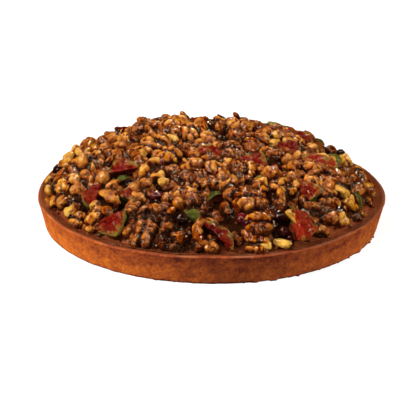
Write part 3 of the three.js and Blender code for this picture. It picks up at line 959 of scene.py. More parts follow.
class Finish:
    """A material with one Principled shader, and short ways to the nodes that feed it.

    Values that are the same all over are set on the shader's own sockets. Textures follow the
    mesh's own `grain` layer, or its object coordinates.
    """

    def __init__(self, name, coat=1.0, coat_roughness=0.04, specular=0.0, on_object=False):
        self.material = bpy.data.materials.new(name)
        self.material.use_nodes = True
        self.tree = self.material.node_tree
        self.inputs = self.tree.nodes["Principled BSDF"].inputs
        self.inputs["Roughness"].default_value = 0.6
        self.inputs["Specular IOR Level"].default_value = specular
        self.inputs["Coat Weight"].default_value = coat
        self.inputs["Coat Roughness"].default_value = coat_roughness
        if on_object:
            self.place = self.add("TexCoord").outputs["Object"]
        else:
            self.place = self.add("Attribute", attribute_name="grain").outputs["Vector"]

    def add(self, kind, inputs=None, **settings):
        """A new node with its settings, and its input sockets filled or linked."""
        node = self.tree.nodes.new("ShaderNode" + kind)
        for key, value in settings.items():
            setattr(node, key, value)
        for key, value in (inputs or {}).items():
            if isinstance(value, bpy.types.NodeSocket):
                self.tree.links.new(value, node.inputs[key])
            else:
                node.inputs[key].default_value = value
        return node

    def layer(self, name):
        """The value that the mesh carries under this name."""
        return self.add("Attribute", attribute_name=name).outputs["Fac"]

    def speckle(self, scale, detail=2.0, roughness=0.5, distortion=0.0, place=None):
        """A noise texture's value."""
        inputs = {
            "Vector": self.place if place is None else place,
            "Scale": scale,
            "Detail": detail,
            "Roughness": roughness,
            "Distortion": distortion,
        }
        return self.add("TexNoise", inputs).outputs["Fac"]

    def streaks(self, scale, detail):
        """A noise texture's value, drawn out along Z into upright streaks."""
        squeezed = self.add("VectorMath", {0: self.place, 1: (1, 1, 0.15)}, operation="MULTIPLY")
        return self.speckle(scale, detail, place=squeezed.outputs["Vector"])

    def veins(self, scale, width):
        """1 on thin winding lines, where a noise passes through its middle, and 0 off them."""
        offset = self.total((self.speckle(scale), 1.0), -0.5)
        size = self.add("Math", {0: offset}, operation="ABSOLUTE").outputs[0]
        return self.span(size, width, 0.0)

    def total(self, *terms):
        """The sum of (socket, factor) pairs and plain numbers."""
        result = sum(term for term in terms if not isinstance(term, tuple))
        for socket, factor in (term for term in terms if isinstance(term, tuple)):
            inputs = {0: socket, 1: factor, 2: result}
            result = self.add("Math", inputs, operation="MULTIPLY_ADD").outputs[0]
        return result

    def span(self, value, low, high):
        """A value mapped so that `low` gives 0 and `high` gives 1, kept between them."""
        inputs = {"Value": value, "From Min": low, "From Max": high}
        return self.add("MapRange", inputs, clamp=True).outputs["Result"]

    def ramp(self, factor, *stops):
        """A colour ramp through (position, colour) stops."""
        node = self.add("ValToRGB", {"Fac": factor})
        elements = node.color_ramp.elements
        while len(elements) < len(stops):
            elements.new(0.5)
        for element, (position, colour) in zip(elements, stops):
            element.position = position
            element.color = (*colour, 1)
        return node.outputs["Color"]

    def mix(self, factor, first, second):
        """Two colours mixed by a factor."""
        first, second = (
            colour if isinstance(colour, bpy.types.NodeSocket) else (*colour, 1)
            for colour in (first, second)
        )
        return self.add("Mix", {0: factor, 6: first, 7: second}, data_type="RGBA").outputs[2]

    def roughen(self, height, distance, strength=1.0, socket="Normal"):
        """Bumps the surface, or its coat, by a height, as if `distance` metres high."""
        inputs = {"Height": height, "Distance": distance, "Strength": strength}
        self.tree.links.new(self.add("Bump", inputs).outputs["Normal"], self.inputs[socket])

    def coloured(self, colour):
        """The material, with this colour on its surface."""
        self.tree.links.new(colour, self.inputs["Base Color"])
        return self.material


def nut_material():
    """Glazed walnut: gold on the folds, brown on the flanks and syrup in the creases, with darker
    pools of glaze. The dark creases and the parts low in the heap are partly painted shade, and the
    tops and the sides that face the key lamps are painted lighter."""
    colours = bpy.context.scene.tart_colours
    gold, brown = np.array(colours.nut_gold), np.array(colours.nut_brown)
    nut = Finish("glazed walnut")
    patches, fine, lines = nut.speckle(190, 3), nut.speckle(620), nut.veins(230, 0.07)
    # Lighter on crests and high up, darker in creases and low down: partly painted light and shade.
    glow = nut.total(
        (nut.layer("ridge"), 1.0), (nut.layer("tone_and_light"), 0.65), (nut.layer("bared_and_lit"), 0.65),
        (patches, 1.2), (fine, 0.3), (lines, 0.18), -2.15,
    )
    colour = nut.ramp(
        glow,
        (0.0, colours.syrup),
        (0.2, 0.6 * brown),
        (0.42, 1.5 * brown),
        (0.62, (0.45 * gold + 0.8 * brown) * (1, 0.92, 1.1)),
        (0.82, gold),
        (1.0, gold * (1.15, 1.6, 2.4)),
    )
    pooled = nut.span(nut.speckle(85), 0.47, 0.66)
    inputs = {"Hue": 0.486, "Saturation": 1.08, "Value": 0.72, "Fac": pooled, "Color": colour}
    colour = nut.add("HueSaturation", inputs).outputs["Color"]
    nut.roughen(nut.total((fine, 0.3), (nut.speckle(330), 0.85), (lines, 0.25)), 0.0012)
    wet = nut.total((nut.speckle(270, 1), 1.0), (lines, 0.2))
    nut.roughen(wet, 0.0012, 0.9, "Coat Normal")
    return nut.coloured(colour)


def hazelnut_material():
    """Glazed skinned hazelnut: pale gold with darker patches of skin and thin darker veins."""
    nut = Finish("glazed hazelnut")
    patches, lines = nut.speckle(220, 3), nut.veins(160, 0.09)
    # Darker in its dents and low in the heap, lighter on its crests and high up: partly painted
    # shade and light.
    glow = nut.total(
        (nut.layer("ridge"), 0.5), (nut.layer("tone_and_light"), 0.3), (nut.layer("bared_and_lit"), 0.5),
        (patches, 1.5), (lines, -0.25), -1.25,
    )
    height = nut.total((nut.speckle(300), 1.0), (lines, -0.5))
    nut.roughen(height, 0.0016)
    nut.roughen(height, 0.0009, 0.9, "Coat Normal")
    return nut.coloured(nut.ramp(
        glow,
        (0.0, (0.05, 0.011, 0.002)),
        (0.3, (0.17, 0.038, 0.006)),
        (0.6, (0.40, 0.120, 0.016)),
        (1.0, (0.62, 0.25, 0.042)),
    ))


def pale_nut_material():
    """Glazed blanched nut: pale yellow with amber edges."""
    nut = Finish("pale nut")
    patches = nut.speckle(230, 3)
    # Darker in its dents and lighter on its crests: painted shade and light.
    glow = nut.total((nut.layer("ridge"), 0.8), (nut.layer("tone_and_light"), 0.3), (patches, 1.1), -0.75)
    nut.roughen(patches, 0.0006, 0.5)
    return nut.coloured(nut.ramp(
        glow,
        (0.0, (0.16, 0.045, 0.008)),
        (0.4, (0.38, 0.145, 0.02)),
        (0.75, (0.56, 0.27, 0.035)),
        (1.0, (0.70, 0.42, 0.085)),
    ))


def syrup_material():
    """The dark syrup between the nuts: almost black brown, partly as painted shade, thinning to
    caramel at the rim.
    """
    colours = bpy.context.scene.tart_colours
    dark, caramel = np.array(colours.syrup), np.array(colours.caramel)
    syrup = Finish("dark syrup", 0.12, 0.06, on_object=True)
    patches = syrup.speckle(90, 3)
    syrup.roughen(syrup.speckle(380), 0.0012, 0.9)
    return syrup.coloured(syrup.ramp(
        syrup.total((syrup.layer("outer"), 0.8), (patches, 0.9), -0.4),
        (0.0, 0.6 * dark),
        (0.35, dark),
        (0.8, caramel),
        (1.0, 1.3 * caramel),
    ))


def caramel_material():
    """Set caramel: glossy brown with broad paler and darker patches."""
    brown = np.array(bpy.context.scene.tart_colours.caramel)
    caramel = Finish("set caramel", 1.0, 0.05, on_object=True)
    patches = caramel.total((caramel.speckle(45, 3), 1.3), -0.15)
    caramel.roughen(caramel.speckle(150), 0.001, 0.4)
    stops = ((0.0, 0.55 * brown), (0.5, brown), (1.0, 1.6 * brown))
    return caramel.coloured(caramel.ramp(patches, *stops))


def crust_material():
    """Baked shortcrust: gold to red brown, darker towards the rim and at the foot, with upright
    streaks and dark specks, and glazed with caramel past the rim's edge. The darker foot and the
    darker front are painted shade, and a pale line near the rim's edge is a painted highlight."""
    colours = bpy.context.scene.tart_colours
    pale, dark = np.array(colours.crust_pale), np.array(colours.crust_dark)
    crust = Finish("baked shortcrust", 0.06, 0.3, specular=0.12, on_object=True)
    grain = crust.speckle(420, 4, 0.65)
    baked = crust.total(
        (crust.layer("bake_and_shade"), 0.9), (crust.speckle(28, 3), 0.4), (grain, 1.0),
        (crust.streaks(130, 3), 0.4), (crust.speckle(150, 3, 0.6), 0.8), -1.26,
    )
    colour = crust.ramp(
        baked,
        (0.0, pale),
        (0.35, (0.5 * pale + 0.5 * dark) * (1, 0.9, 1.15)),
        (0.75, dark),
        (1.0, 0.5 * dark),
    )
    specked = crust.span(crust.speckle(330, 1), 0.66, 0.8)
    colour = crust.mix(crust.total((specked, 0.5)), colour, 0.4 * dark)
    colour = crust.mix(crust.total((crust.layer("glazed"), 0.9)), colour, colours.caramel)
    # Paler along the rim's edge: painted highlight.
    colour = crust.mix(crust.total((crust.layer("lip_highlight"), 0.3)), colour, (0.60, 0.30, 0.14))
    crust.roughen(crust.total((grain, 1.0), (specked, -0.5)), 0.0007, 0.8)
    return crust.coloured(colour)


def fig_material():
    """Fig: red seeded flesh, pale pith under the skin, and green skin, with caramel where it dips.

    The flesh turns to pith and then to green over the last millimetres before the skin.
    """
    caramel = bpy.context.scene.tart_colours.caramel
    fig = Finish("cut fig", 0.3)
    ripe = fig.layer("ripe")
    strands, broad = fig.speckle(330, 3, 0.65, 0.8), fig.speckle(120, 3, 0.6)
    flesh = fig.ramp(
        fig.total((strands, 1.4), (ripe, 0.45), (broad, 0.6), -0.82),
        (0.0, (0.32, 0.04, 0.014)),
        (0.25, (0.185, 0.0085, 0.0035)),
        (0.5, (0.12, 0.0035, 0.0025)),
        (0.75, (0.058, 0.0012, 0.0015)),
        (1.0, (0.018, 0.001, 0.001)),
    )
    seeds = fig.add("TexVoronoi", {"Vector": fig.place, "Scale": 560, "Randomness": 1.0})
    seeded = fig.span(seeds.outputs["Distance"], 0.26, 0.12)
    flesh = fig.mix(fig.total((seeded, 0.3)), flesh, (0.42, 0.10, 0.04))
    edge = fig.total((fig.layer("rind"), 0.55), (broad, 20.0), (strands, 7.0), -11.5)
    pith = fig.ramp(
        fig.span(edge, 0.0, 4.0),
        (0.0, (0.10, 0.085, 0.012)),
        (0.35, (0.22, 0.13, 0.020)),
        (0.7, (0.25, 0.075, 0.014)),
        (1.0, (0.22, 0.03, 0.009)),
    )
    skin = fig.ramp(
        fig.total((fig.speckle(120, 3), 1.4), (ripe, 0.5), -0.55),
        (0.0, (0.24, 0.19, 0.030)),
        (0.35, (0.12, 0.115, 0.016)),
        (0.65, (0.040, 0.050, 0.008)),
        (1.0, (0.009, 0.014, 0.004)),
    )
    face = fig.mix(fig.span(edge, 0.6, 5.2), pith, flesh)
    colour = fig.mix(fig.span(fig.layer("skin"), 0.3, 0.8), face, skin)
    glazed = fig.span(fig.speckle(110, 3), 0.48, 0.68)
    sunk = fig.span(fig.total((fig.layer("bared_and_lit"), 1.0), (broad, 0.5), -0.25), 0.5, 0.1)
    colour = fig.mix(fig.total((glazed, 0.35)), colour, caramel)
    colour = fig.mix(fig.total((sunk, 0.9)), colour, caramel)
    fig.roughen(fig.total((strands, 0.6), (seeded, 0.6)), 0.0006, 0.6)
    return fig.coloured(colour)


def berry_material():
    """Dark berry: blue black with a wine-red cast in patches."""
    berry = Finish("dark berry")
    patches = berry.total((berry.speckle(130), 0.9), (berry.layer("tone_and_light"), 0.4), -0.3)
    berry.roughen(berry.speckle(420), 0.0006, 0.5)
    return berry.coloured(berry.ramp(
        patches,
        (0.0, (0.004, 0.002, 0.002)),
        (0.5, (0.014, 0.002, 0.002)),
        (1.0, (0.08, 0.005, 0.005)),
    ))


def cranberry_material():
    """Dried cranberry: crimson on its ridges and near black in its wrinkles, where the dark is
    partly painted shade.
    """
    berry = Finish("dried cranberry", 1.0, 0.05)
    glow = berry.total(
        (berry.layer("ridge"), 0.6), (berry.speckle(160), 0.5), (berry.layer("tone_and_light"), 0.2), -0.3)
    return berry.coloured(berry.ramp(
        glow,
        (0.0, (0.03, 0.002, 0.005)),
        (0.5, (0.08, 0.004, 0.005)),
        (1.0, (0.19, 0.014, 0.012)),
    ))


# ---- Pieces ----


def node_names(start):
    """The names of the solids whose name starts so."""
    return sorted(name for name in bpy.data.objects.keys() if name.startswith(start))


def round_points(radius, angle, height):
    """Corners at a radius and an angle round the tart's middle, and a height."""
    return np.stack([radius * np.cos(angle), radius * np.sin(angle), height + 0 * angle], 1)


def revolved(profile, columns):
    """A closed profile of radius and height, swept round the tart.

    Returns the profile's row, the radius, the height and the angle at each corner, and triangles.
    """
    along, around, triangles = ball_grid(len(profile) - 2, columns)
    rows = np.rint(along * (len(profile) - 1)).astype(int)
    radius, height = profile[rows].T
    return rows, radius, height, 2 * np.pi * around, triangles


def wall_wander(angle):
    """How far the hand-pressed wall stands out, from two sines round the tart."""
    return 0.35 * np.sin(5 * angle + 1) + 0.25 * np.sin(11 * angle + 2.4)


def rim_wander(angle):
    """How far the rim rises and falls, from two sines round the tart."""
    return 0.35 * np.sin(7 * angle) + 0.25 * np.sin(16 * angle + 1)


def case_sizes():
    """Rim radius, foot radius, wall height, and the thickness of rim and floor, in millimetres."""
    sizes = bpy.context.scene.tart_sizes
    names = ("rim_radius", "foot_radius", "wall_height", "rim_thickness", "floor_thickness")
    return [in_millimetres(getattr(sizes, name)) for name in names]


def case_profile():
    """Radius and height along the case's outline, from the middle of its underside, round the
    foot, wall and rim, and back to the middle of its floor, with arcs for the corners."""
    rim, foot, height, thick, floor = case_sizes()

    def wall(level):
        """Outer radius at a level, straight from the foot's to the rim's."""
        return foot + (rim - foot) * level / height

    quarter = np.radians(np.linspace(0, 90, 6))
    sine, cosine = np.sin(quarter), np.cos(quarter)
    under_end = wall(0) - FOOT_ROUND
    rim_middle, inner_middle = rim - RIM_ROUND, rim - thick + LIP_ROUND
    levels = np.linspace(2 * FOOT_ROUND, height - 3, 30)
    return np.concatenate([
        np.stack([np.linspace(0, under_end, 8)[:-1], np.zeros(7)], 1),
        np.stack([under_end + FOOT_ROUND * sine, FOOT_ROUND - FOOT_ROUND * cosine], 1),
        np.stack([wall(levels), levels], 1),
        np.stack([rim_middle + RIM_ROUND * cosine, height - RIM_ROUND + RIM_ROUND * sine], 1),
        np.stack([inner_middle - LIP_ROUND * sine, height - LIP_ROUND + LIP_ROUND * cosine], 1),
        [(wall(height - 4) - thick, height - 4), (wall(floor) - thick, floor)],
        np.stack([np.linspace(wall(floor) - thick, 0, 8)[1:], np.full(7, floor)], 1),
    ])


class TART_OT_case(bpy.types.Operator):
    """Makes the pastry case, with its grain, pits and crumbling foot"""

    bl_idname = "tart.case"
    bl_label = "Pastry Case"

    def execute(self, context):
        profile = case_profile()
        wall_height = case_sizes()[2]
        rows, radius, height, angle, triangles = revolved(profile, 720)
        past_edge = rows - np.argmax(profile[:, 0])
        side = radius > FLAT_MIDDLE
        rise = height / profile[:, 1].max()
        radius = radius + np.where(side, wall_wander(angle) * rise, 0)
        height = height + np.where(side, rim_wander(angle) * rise**3, 0)
        points = round_points(radius, angle, height)
        triangles = outward(points, triangles)
        grain = 0.10 * noise(points, 1.6, 1) + 0.16 * noise(points, 5, 2)
        grain = grain + 0.2 * noise(points, 17, 3)
        pits = smooth_step(noise(points, 2.3, 4), 0.62, 0.9)
        ragged = smooth_step(np.cos(angle - math.radians(325)), -0.3, 0.7)
        crumbs = (0.3 + 1.1 * ragged) * smooth_step(noise(points, 3.6, 5), 0.3, 0.9)
        crumbs = crumbs * bump(height - 0.6, 1.3)
        relief = np.where(side & (past_edge < 12), grain - 0.3 * pits + crumbs - 0.25, 0)
        points = points + corner_normals(points, triangles) * relief[:, None]
        points[:, 2] = np.maximum(points[:, 2], 0)
        # Darker round a bearing of 284, on the front: painted shade.
        front = 0.5 + 0.5 * np.cos(angle - math.radians(284))
        bake_and_shade = (
            0.26 * smooth_step(height, 0.2 * wall_height, wall_height)
            # A dark band at the foot: painted shade where the case meets the floor.
            + 1.1 * bump(height - 0.2, 0.9)
            + 0.3 * pits
            + 0.12 * noise(points * [1, 1, 2], 9, 6)
            # Painted shade on the front.
            + 0.42 * front**3
        )
        glazed = smooth_step(past_edge, 1.5, 4) * (height > 4)
        # A pale broken line near the rim's outer edge: painted highlight.
        lip_highlight = bump(past_edge - 3, 1.2) * smooth_step(noise(points, 9, 7), 0.1, 0.6)
        layers = {"bake_and_shade": bake_and_shade, "glazed": glazed, "lip_highlight": lip_highlight}
        make_piece("pastry_case", points, triangles, layers, "pastry", crust_material(), ["case"])
        return {"FINISHED"}


class TART_OT_filling(bpy.types.Operator):
    """Makes the caramel filling, rippled inside the rim and drawn over the rim as a thin film"""

    bl_idname = "tart.filling"
    bl_label = "Caramel Filling"

    def execute(self, context):
        rim, foot, wall_height, thick, floor = case_sizes()
        low, top = floor + 0.3, wall_height - 0.5

        def inner(level):
            """Inner radius of the wall at a level."""
            return foot + (rim - foot) * level / wall_height - thick

        edge = inner(top)
        film = [(edge + out, top + up) for out, up in CARAMEL_FILM]
        surface = np.stack([(edge - 3.6) * np.linspace(1, 0, 40)[1:], np.full(39, top)], 1)
        below = [(0, low), (inner(low) - 0.3, low), (inner(top - 1) - 0.3, top - 1)]
        profile = np.concatenate([below, film, surface])
        _, radius, height, angle, triangles = revolved(profile, 480)
        radius = radius + np.where(radius > FLAT_MIDDLE, wall_wander(angle) * height / top, 0)
        shown = smooth_step(height, top - 0.5, top - 0.1) * smooth_step(radius, 100, 120)
        points = round_points(radius, angle, 0)
        ripples = 0.25 * noise(points, 9, 51) + 0.12 * noise(points, 3.5, 52)
        lifted = smooth_step(radius, edge - 3, edge + 1) * (height > top - 0.5)
        points[:, 2] = height + shown * ripples + lifted * rim_wander(angle)
        make_piece("caramel_filling", points, outward(points, triangles), {}, "caramel",
                   caramel_material(), ["filling"])
        return {"FINISHED"}


def nut_tops(points):
    """A square raster of the heap's level, seen from above.

    It holds the highest nut corner in each cell, or the bare mound, blurred by a bell curve.
    """
    count = int(2 * RASTER_HALF / RASTER_CELL) + 1
    axis = np.linspace(-RASTER_HALF, RASTER_HALF, count)
    level = mound_height(*np.meshgrid(axis, axis, indexing="ij"))
    column, row = (np.rint((points[:, i] + RASTER_HALF) / RASTER_CELL).astype(int) for i in (0, 1))
    np.maximum.at(level, (column, row), points[:, 2])
    bell = bump(np.arange(-6, 7) * RASTER_CELL, 3.6)
    bell /= bell.sum()
    for side in range(2):
        level = np.apply_along_axis(lambda line: np.convolve(line, bell, "same"), side, level)
    return level


def syrup_height(level, x, y):
    """The syrup's height: the raster's level between its cells, less the syrup's drop."""
    across, up = (x + RASTER_HALF) / RASTER_CELL, (y + RASTER_HALF) / RASTER_CELL
    i, j = (np.clip(np.floor(v).astype(int), 0, len(level) - 2) for v in (across, up))
    u, v = across - i, up - j
    height = (level[i, j] * (1 - u) * (1 - v) + level[i + 1, j] * u * (1 - v)
              + level[i, j + 1] * (1 - u) * v + level[i + 1, j + 1] * u * v)
    return height - SYRUP_DROP


class TART_OT_nuts(bpy.types.Operator):
    """Makes the heap of glazed nuts, with its crumbs and the syrup between them"""

    bl_idname = "tart.nuts"
    bl_label = "Nut Heap"

    def execute(self, context):
        top, bed = heap_nuts()
        walnut, hazel = nut_material(), hazelnut_material()
        half = len(top) // 2
        courses = ((top[:half], "", 0, 1), (top[half:], "more_", 0, 3001), (bed, "bed_", 1, 6001))
        made = []
        for nuts, prefix, course, first in courses:
            for step, (kind, title) in enumerate(NUT_TITLES.items()):
                mesh = nut_meshes(nuts, kind, course, first + 500 * step)
                if mesh is not None:
                    made.append((prefix + title, kind, course, *mesh))
        level = nut_tops(np.concatenate([points for _, _, _, points, _, _ in made]))
        for name, kind, course, points, triangles, layers in made:
            above = points[:, 2] - syrup_height(level, points[:, 0], points[:, 1])
            # Nuts are lighter the higher a corner stands above the syrup and darker low down:
            # partly the syrup's stain and partly painted shade.
            layers["bared_and_lit"] = smooth_step(above, 0, 7.5)
            make_piece(name, points, triangles, layers, "nuts",
                       hazel if kind == "hazelnut" else walnut, [] if course else ["nut_heap"])
        self.make_syrup(level)
        self.make_crumbs(level, walnut)
        return {"FINISHED"}

    def make_crumbs(self, level, material):
        """Small crumbs of nut, half sunk in the syrup, on a sunflower spread."""
        grid = ball_grid(5, 7)
        shapes = [nut_chunk(grid, seed) for seed in range(51, 57)]
        triangles = outward(shapes[0], grid[2])
        ridges = [crests(corners, triangles, 2, 0.6) for corners in shapes]
        order = np.arange(CRUMB_COUNT)
        index = FIRST_DRAWS["crumbs"] + order
        bearing = CRUMB_START + order * GOLDEN_ANGLE
        distance = HEAP_RADIUS * np.sqrt((order + 0.5) / CRUMB_COUNT)
        turns, origins = mound_places(bearing, distance, 0, 360 * draw(index, TURN),
                                      180 * draw(index, ROLL), 180 * draw(index, PITCH))
        x, y, bare = origins.T
        height = np.maximum(syrup_height(level, x, y), bare - 0.6)
        edge = smooth_step(distance, *HEAP_FOOT)
        origins[:, 2] = height * (1 - edge) + RING_LEVEL * edge + 0.8
        sizes = 0.16 + 0.3 * draw(index, SIZE) ** 2
        points, triangles, layers = scattered(shapes, grid, index, (turns, origins), sizes, ridges)
        # Crumbs are darker within the heap and lighter on the ring by the rim: partly painted
        # shade.
        layers["bared_and_lit"] = np.repeat(0.35 + 0.6 * edge, len(points) // CRUMB_COUNT)
        make_piece("nut_crumbs", points, triangles, layers, "nuts", material, [])

    def make_syrup(self, level):
        """The syrup's surface on a round grid: the level of `syrup_height`, with small ripples,
        sinking to the caramel at its edge, and a flat underside in the grid's last tenth."""
        along, around, triangles = ball_grid(170, 420)
        outer = along <= 0.9
        reach = np.where(outer, along / 0.9, (1 - along) / 0.1)
        radius, angle = BED_RADIUS * reach, 2 * np.pi * around
        points = round_points(radius, angle, 0)
        x, y, _ = points.T
        height = np.maximum(syrup_height(level, x, y), mound_height(x, y) - 0.6)
        height = height + 0.35 * noise(points, 5, 61) + 0.15 * noise(points, 2.4, 62)
        edge = smooth_step(radius, *HEAP_FOOT)
        height = height * (1 - edge) + (RING_LEVEL + 0.2) * edge
        points[:, 2] = np.where(outer, height, RING_LEVEL + 0.05)
        layers = {"outer": smooth_step(radius, 128, 139)}
        make_piece("syrup", points, outward(points, triangles), layers, "nuts",
                   syrup_material(), ["nut_heap"])


def fig_outline(share):
    """A fig's radius from stem to base: a power of a sine with its peak past the middle."""
    return np.sin(np.pi * np.clip(share, 0, 1) ** 1.3) ** 0.8


def fig_wedge(grid, length, radius, seed):
    """A wedge cut lengthwise from a fig, its shown cut face level and looking up.

    Round each cross-section the outline runs out along one cut face, back along the skin's arc,
    and in along the other face. The whole wedge is bent by broad noise, and the cut faces are
    knobbly with seeds. Returns the corners, the skin's share and the depth below the skin.
    """
    along, around, triangles = grid
    share = 0.5 - 0.5 * np.cos(np.pi * along)
    reach = fig_outline(share) * radius
    wedge = math.radians(FIG_WEDGE_ANGLE)
    first, last = 0.36, 0.66
    out = np.where(around < first, around / first,
                   np.where(around < last, 1, (1 - around) / (1 - last)))
    swing = wedge * np.clip((around - first) / (last - first), 0, 1)
    across = out * reach * np.cos(swing)
    down = -out * reach * np.sin(swing)
    points = np.stack([(share - 0.5) * length, across - 0.42 * radius, down + 0.42 * radius], 1)
    face = np.where(out < 1, 4 * out * (1 - out), 0)
    normals = corner_normals(points, outward(points, triangles))
    relief = 2.4 * noise(points, 8, seed) + 0.8 * noise(points, 3.5, seed + 1)
    relief = relief + (0.75 * noise(points, 1.9, seed + 2) - 0.9) * face
    skin = ((around >= first) & (around < last)).astype(float)
    rind = (1 - out) * reach
    return points + normals * relief[:, None], skin, rind


class TART_OT_pale_nuts(bpy.types.Operator):
    """Makes the few pale blanched pieces that lie between the nuts"""

    bl_idname = "tart.pale_nuts"
    bl_label = "Pale Nuts"

    def execute(self, context):
        grid = ball_grid(16, 22)
        shapes = [nut_chunk(grid, seed) for seed in (61, 62, 63)]
        ridges = [crests(corners, grid[2], 20, 1) for corners in shapes]
        bearing, distance, lift, turn, roll, length, width = PALE_NUTS.T
        turns, origins = mound_places(bearing, distance, lift, turn, roll)
        stretch = np.stack([length, width, 0.8 * width], 1) / np.array(NUT_SIZES["chunk"])
        index = FIRST_DRAWS["pale nuts"] + np.arange(len(PALE_NUTS))
        made = scattered(shapes, grid, index, (turns * stretch[:, None, :], origins), ridges=ridges)
        make_piece("pale_nuts", *made, "nuts", pale_nut_material(), [])
        return {"FINISHED"}


class TART_OT_figs(bpy.types.Operator):
    """Makes the fig wedges with their seeded flesh, pith and skin"""

    bl_idname = "tart.figs"
    bl_label = "Fig Wedges"

    def execute(self, context):
        grid = ball_grid(44, 60)
        points, triangles = [], []
        layers = {"skin": [], "rind": [], "ripe": [], "grain": []}
        for row, (bearing, distance, turn, roll, length, radius, ripe) in enumerate(FIGS):
            corners, skin, rind = fig_wedge(grid, length, radius, 70 + row)
            turns, origins = mound_places(bearing, distance, FIG_LIFT * radius, turn, roll)
            triangles.append(outward(corners, grid[2]) + row * len(corners))
            points.append(corners @ turns[0].T + origins[0])
            grain = corners * MILLIMETRE + draw(row, 14)
            for name, values in zip(layers, (skin, rind, np.full(len(corners), ripe), grain)):
                layers[name].append(values)
        points = np.concatenate(points)
        points[:, 2] = np.maximum(points[:, 2], RING_LEVEL + 0.2)
        layers = {name: np.concatenate(values) for name, values in layers.items()}
        above = points[:, 2] - mound_height(points[:, 0], points[:, 1])
        layers["bared_and_lit"] = smooth_step(above, 0, 7)
        make_piece("fig_wedges", points, np.concatenate(triangles), layers, "fig",
                   fig_material(), node_names("fig_"))
        return {"FINISHED"}


class TART_OT_berries(bpy.types.Operator):
    """Makes the dark berries, dented and a little wrinkled, with a sunken crown"""

    bl_idname = "tart.berries"
    bl_label = "Dark Berries"

    def execute(self, context):
        grid = ball_grid(18, 26)
        ball = full_ball(grid[0], grid[1], 2.0)
        crown = bump(np.hypot(ball[:, 1], ball[:, 2]), 0.3) * (ball[:, 0] > 0)
        shapes = []
        for seed in (81, 82, 83):
            wrinkles = bump(noise(ball * 5, 2.6, seed + 4), 0.25)
            dents = 1 - 0.3 * crown + 0.12 * noise(ball * 5, 3.4, seed) - 0.1 * wrinkles
            shapes.append(ball * dents[:, None] * BERRY_RADIUS)
        index = FIRST_DRAWS["berries"] + np.arange(len(BERRIES))
        bearing, distance, size = BERRIES.T
        places = mound_places(bearing, distance, BERRY_LIFT * size, 360 * draw(index, TURN),
                              90 * draw(index, ROLL), 180 * draw(index, PITCH))
        made = scattered(shapes, grid, index, places, size)
        make_piece("dark_berries", *made, "berry", berry_material(), node_names("berry_"))
        return {"FINISHED"}


class TART_OT_cranberries(bpy.types.Operator):
    """Makes the wrinkled cranberries"""

    bl_idname = "tart.cranberries"
    bl_label = "Cranberries"

    def execute(self, context):
        grid = ball_grid(24, 30)
        plump = full_ball(grid[0], grid[1], 2.2) * np.array(CRANBERRY_SIZE) / 2
        normals = corner_normals(plump, outward(plump, grid[2]))
        wrinkles = [bump(noise(plump * [0.45, 1, 1], 3.4, seed), 0.22) for seed in (91, 92, 93)]
        shapes = [plump - normals * (0.9 * wrinkle)[:, None] for wrinkle in wrinkles]
        ridges = [1 - wrinkle for wrinkle in wrinkles]
        index = FIRST_DRAWS["cranberries"] + np.arange(len(CRANBERRIES))
        bearing, distance, turn, size = CRANBERRIES.T
        places = mound_places(bearing, distance, CRANBERRY_LIFT * size, turn)
        made = scattered(shapes, grid, index, places, size, ridges)
        make_piece("cranberries", *made, "cranberry",
                   cranberry_material(), node_names("cranberry_"))
        return {"FINISHED"}


# ---- Stage ----


def soft_light(name, bearing, elevation, strength, softness, colour):
    """A far lamp that shines on the tart from a bearing and elevation.

    `strength` is what a white surface that faces the lamp would show, and `softness` is the
    angle that the lamp spans.
    """
    light = bpy.data.lights.new(name, "SUN")
    light.energy = strength * math.pi
    light.angle = math.radians(softness)
    light.color = colour
    holder = bpy.data.objects.new(name, light)
    b, e = math.radians(bearing), math.radians(elevation)
    place = Vector((math.cos(b) * math.cos(e), math.sin(b) * math.cos(e), math.sin(e)))
    holder.location = place
    holder.rotation_euler = (-place).to_track_quat("-Z", "Y").to_euler()
    bpy.context.scene.collection.objects.link(holder)
    return holder


def backdrop_piece(name, grey, glow, points, triangles):
    """A glowing grey piece of the stage, which only the camera sees and which reflects nowhere."""
    material = bpy.data.materials.new("white " + name)
    material.use_nodes = True
    inputs = material.node_tree.nodes["Principled BSDF"].inputs
    inputs["Roughness"].default_value = 0.9
    inputs["Base Color"].default_value = (grey, grey, grey, 1)
    inputs["Emission Color"].default_value = (1, 1, 1, 1)
    inputs["Emission Strength"].default_value = glow
    mesh = bpy.data.meshes.new(name)
    mesh.from_pydata((points * MILLIMETRE).tolist(), [], triangles.tolist())
    mesh.materials.append(material)
    piece = bpy.data.objects.new(name, mesh)
    bpy.context.scene.collection.objects.link(piece)
    piece.visible_diffuse = piece.visible_glossy = False
    return piece


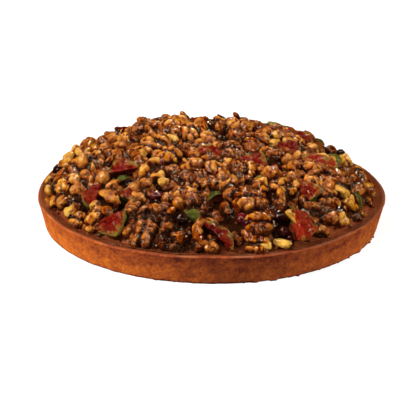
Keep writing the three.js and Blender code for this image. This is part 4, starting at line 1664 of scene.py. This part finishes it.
class TART_OT_stage(bpy.types.Operator):
    """Makes the floor, the soft lights and the camera"""

    bl_idname = "tart.stage"
    bl_label = "Stage"

    def execute(self, context):
        scene = context.scene
        corners = np.array([(-1, -1, 0), (1, -1, 0), (1, 1, 0), (-1, 1, 0)]) * FLOOR_HALF
        sides = np.array([(0, 1, 2), (0, 2, 3)])
        floor = backdrop_piece("floor", FLOOR_GREY, FLOOR_GLOW, corners, sides)
        along, around, triangles = ball_grid(15, 32)
        ball = full_ball(along, around, 2.0) * SCREEN_RADIUS
        screen = backdrop_piece("screen", 0, 1, ball, outward(ball, triangles)[:, ::-1])
        screen.visible_shadow = False
        for lamp in KEY_LAMPS:
            soft_light(*lamp).visible_glossy = False
        for lamp in GLINT_LAMPS:
            soft_light(*lamp, GLINT_SPAN, GLINT_COLOUR).visible_diffuse = False
        world = bpy.data.worlds.new("studio")
        world.use_nodes = True
        inputs = world.node_tree.nodes["Background"].inputs
        inputs["Color"].default_value = (1, 1, 1, 1)
        inputs["Strength"].default_value = WORLD_GLOW
        world.cycles_visibility.glossy = False
        scene.world = world
        scene.view_settings.view_transform = "Standard"
        self.make_camera(scene)
        return {"FINISHED"}

    def make_camera(self, scene):
        """The photograph's camera: at a reach from the rim's middle, raised above the horizon,
        aimed so that the rim's middle falls where the photograph has it, and rolled a little."""
        data = bpy.data.cameras.new("camera")
        data.sensor_width = 36
        data.lens = FOCAL_PIXELS / FRAME_PIXELS * 36
        data.clip_start, data.clip_end = 0.05, 20
        camera = bpy.data.objects.new("camera", data)
        elevation, roll = math.radians(CAMERA_ELEVATION), math.radians(CAMERA_ROLL)
        camera.location = (
            0, -CAMERA_REACH * math.cos(elevation), RIM_MIDDLE + CAMERA_REACH * math.sin(elevation))
        right, down = (place - FRAME_PIXELS / 2 for place in RIM_MIDDLE_PIXEL)
        dip, swing = math.atan(-down / FOCAL_PIXELS), math.atan(right / FOCAL_PIXELS)
        turn = Euler((math.pi / 2 - elevation - dip, 0, swing)).to_matrix()
        turn = turn @ Euler((0, 0, roll)).to_matrix()
        camera.rotation_euler = turn.to_euler()
        scene.collection.objects.link(camera)
        scene.camera = camera


PIECES = (
    TART_OT_case,
    TART_OT_filling,
    TART_OT_nuts,
    TART_OT_pale_nuts,
    TART_OT_figs,
    TART_OT_berries,
    TART_OT_cranberries,
    TART_OT_stage,
)


class TART_PT_sidebar(bpy.types.Panel):
    """Lists the tart's sizes, colours and pieces"""

    bl_idname = "TART_PT_sidebar"
    bl_label = "Caramel Nut Tart"
    bl_space_type = "VIEW_3D"
    bl_region_type = "UI"
    bl_category = "Tart"

    def draw(self, context):
        for group in (context.scene.tart_sizes, context.scene.tart_colours):
            column = self.layout.column(align=True)
            for name in group.__annotations__:
                column.prop(group, name)
        column = self.layout.column(align=True)
        for piece in PIECES:
            column.operator(piece.bl_idname)


CLASSES = (TartSizes, TartColours, *PIECES, TART_PT_sidebar)


def register():
    """Registers the classes, and gives the scene its sizes and colours."""
    for item in CLASSES:
        bpy.utils.register_class(item)
    bpy.types.Scene.tart_sizes = PointerProperty(type=TartSizes)
    bpy.types.Scene.tart_colours = PointerProperty(type=TartColours)


def unregister():
    """Takes back what `register` did."""
    del bpy.types.Scene.tart_colours
    del bpy.types.Scene.tart_sizes
    for item in reversed(CLASSES):
        bpy.utils.unregister_class(item)


def main():
    """Makes every piece and the stage."""
    register()
    for piece in PIECES:
        group, name = piece.bl_idname.split(".")
        getattr(getattr(bpy.ops, group), name)()


if __name__ == "__main__":
    main()
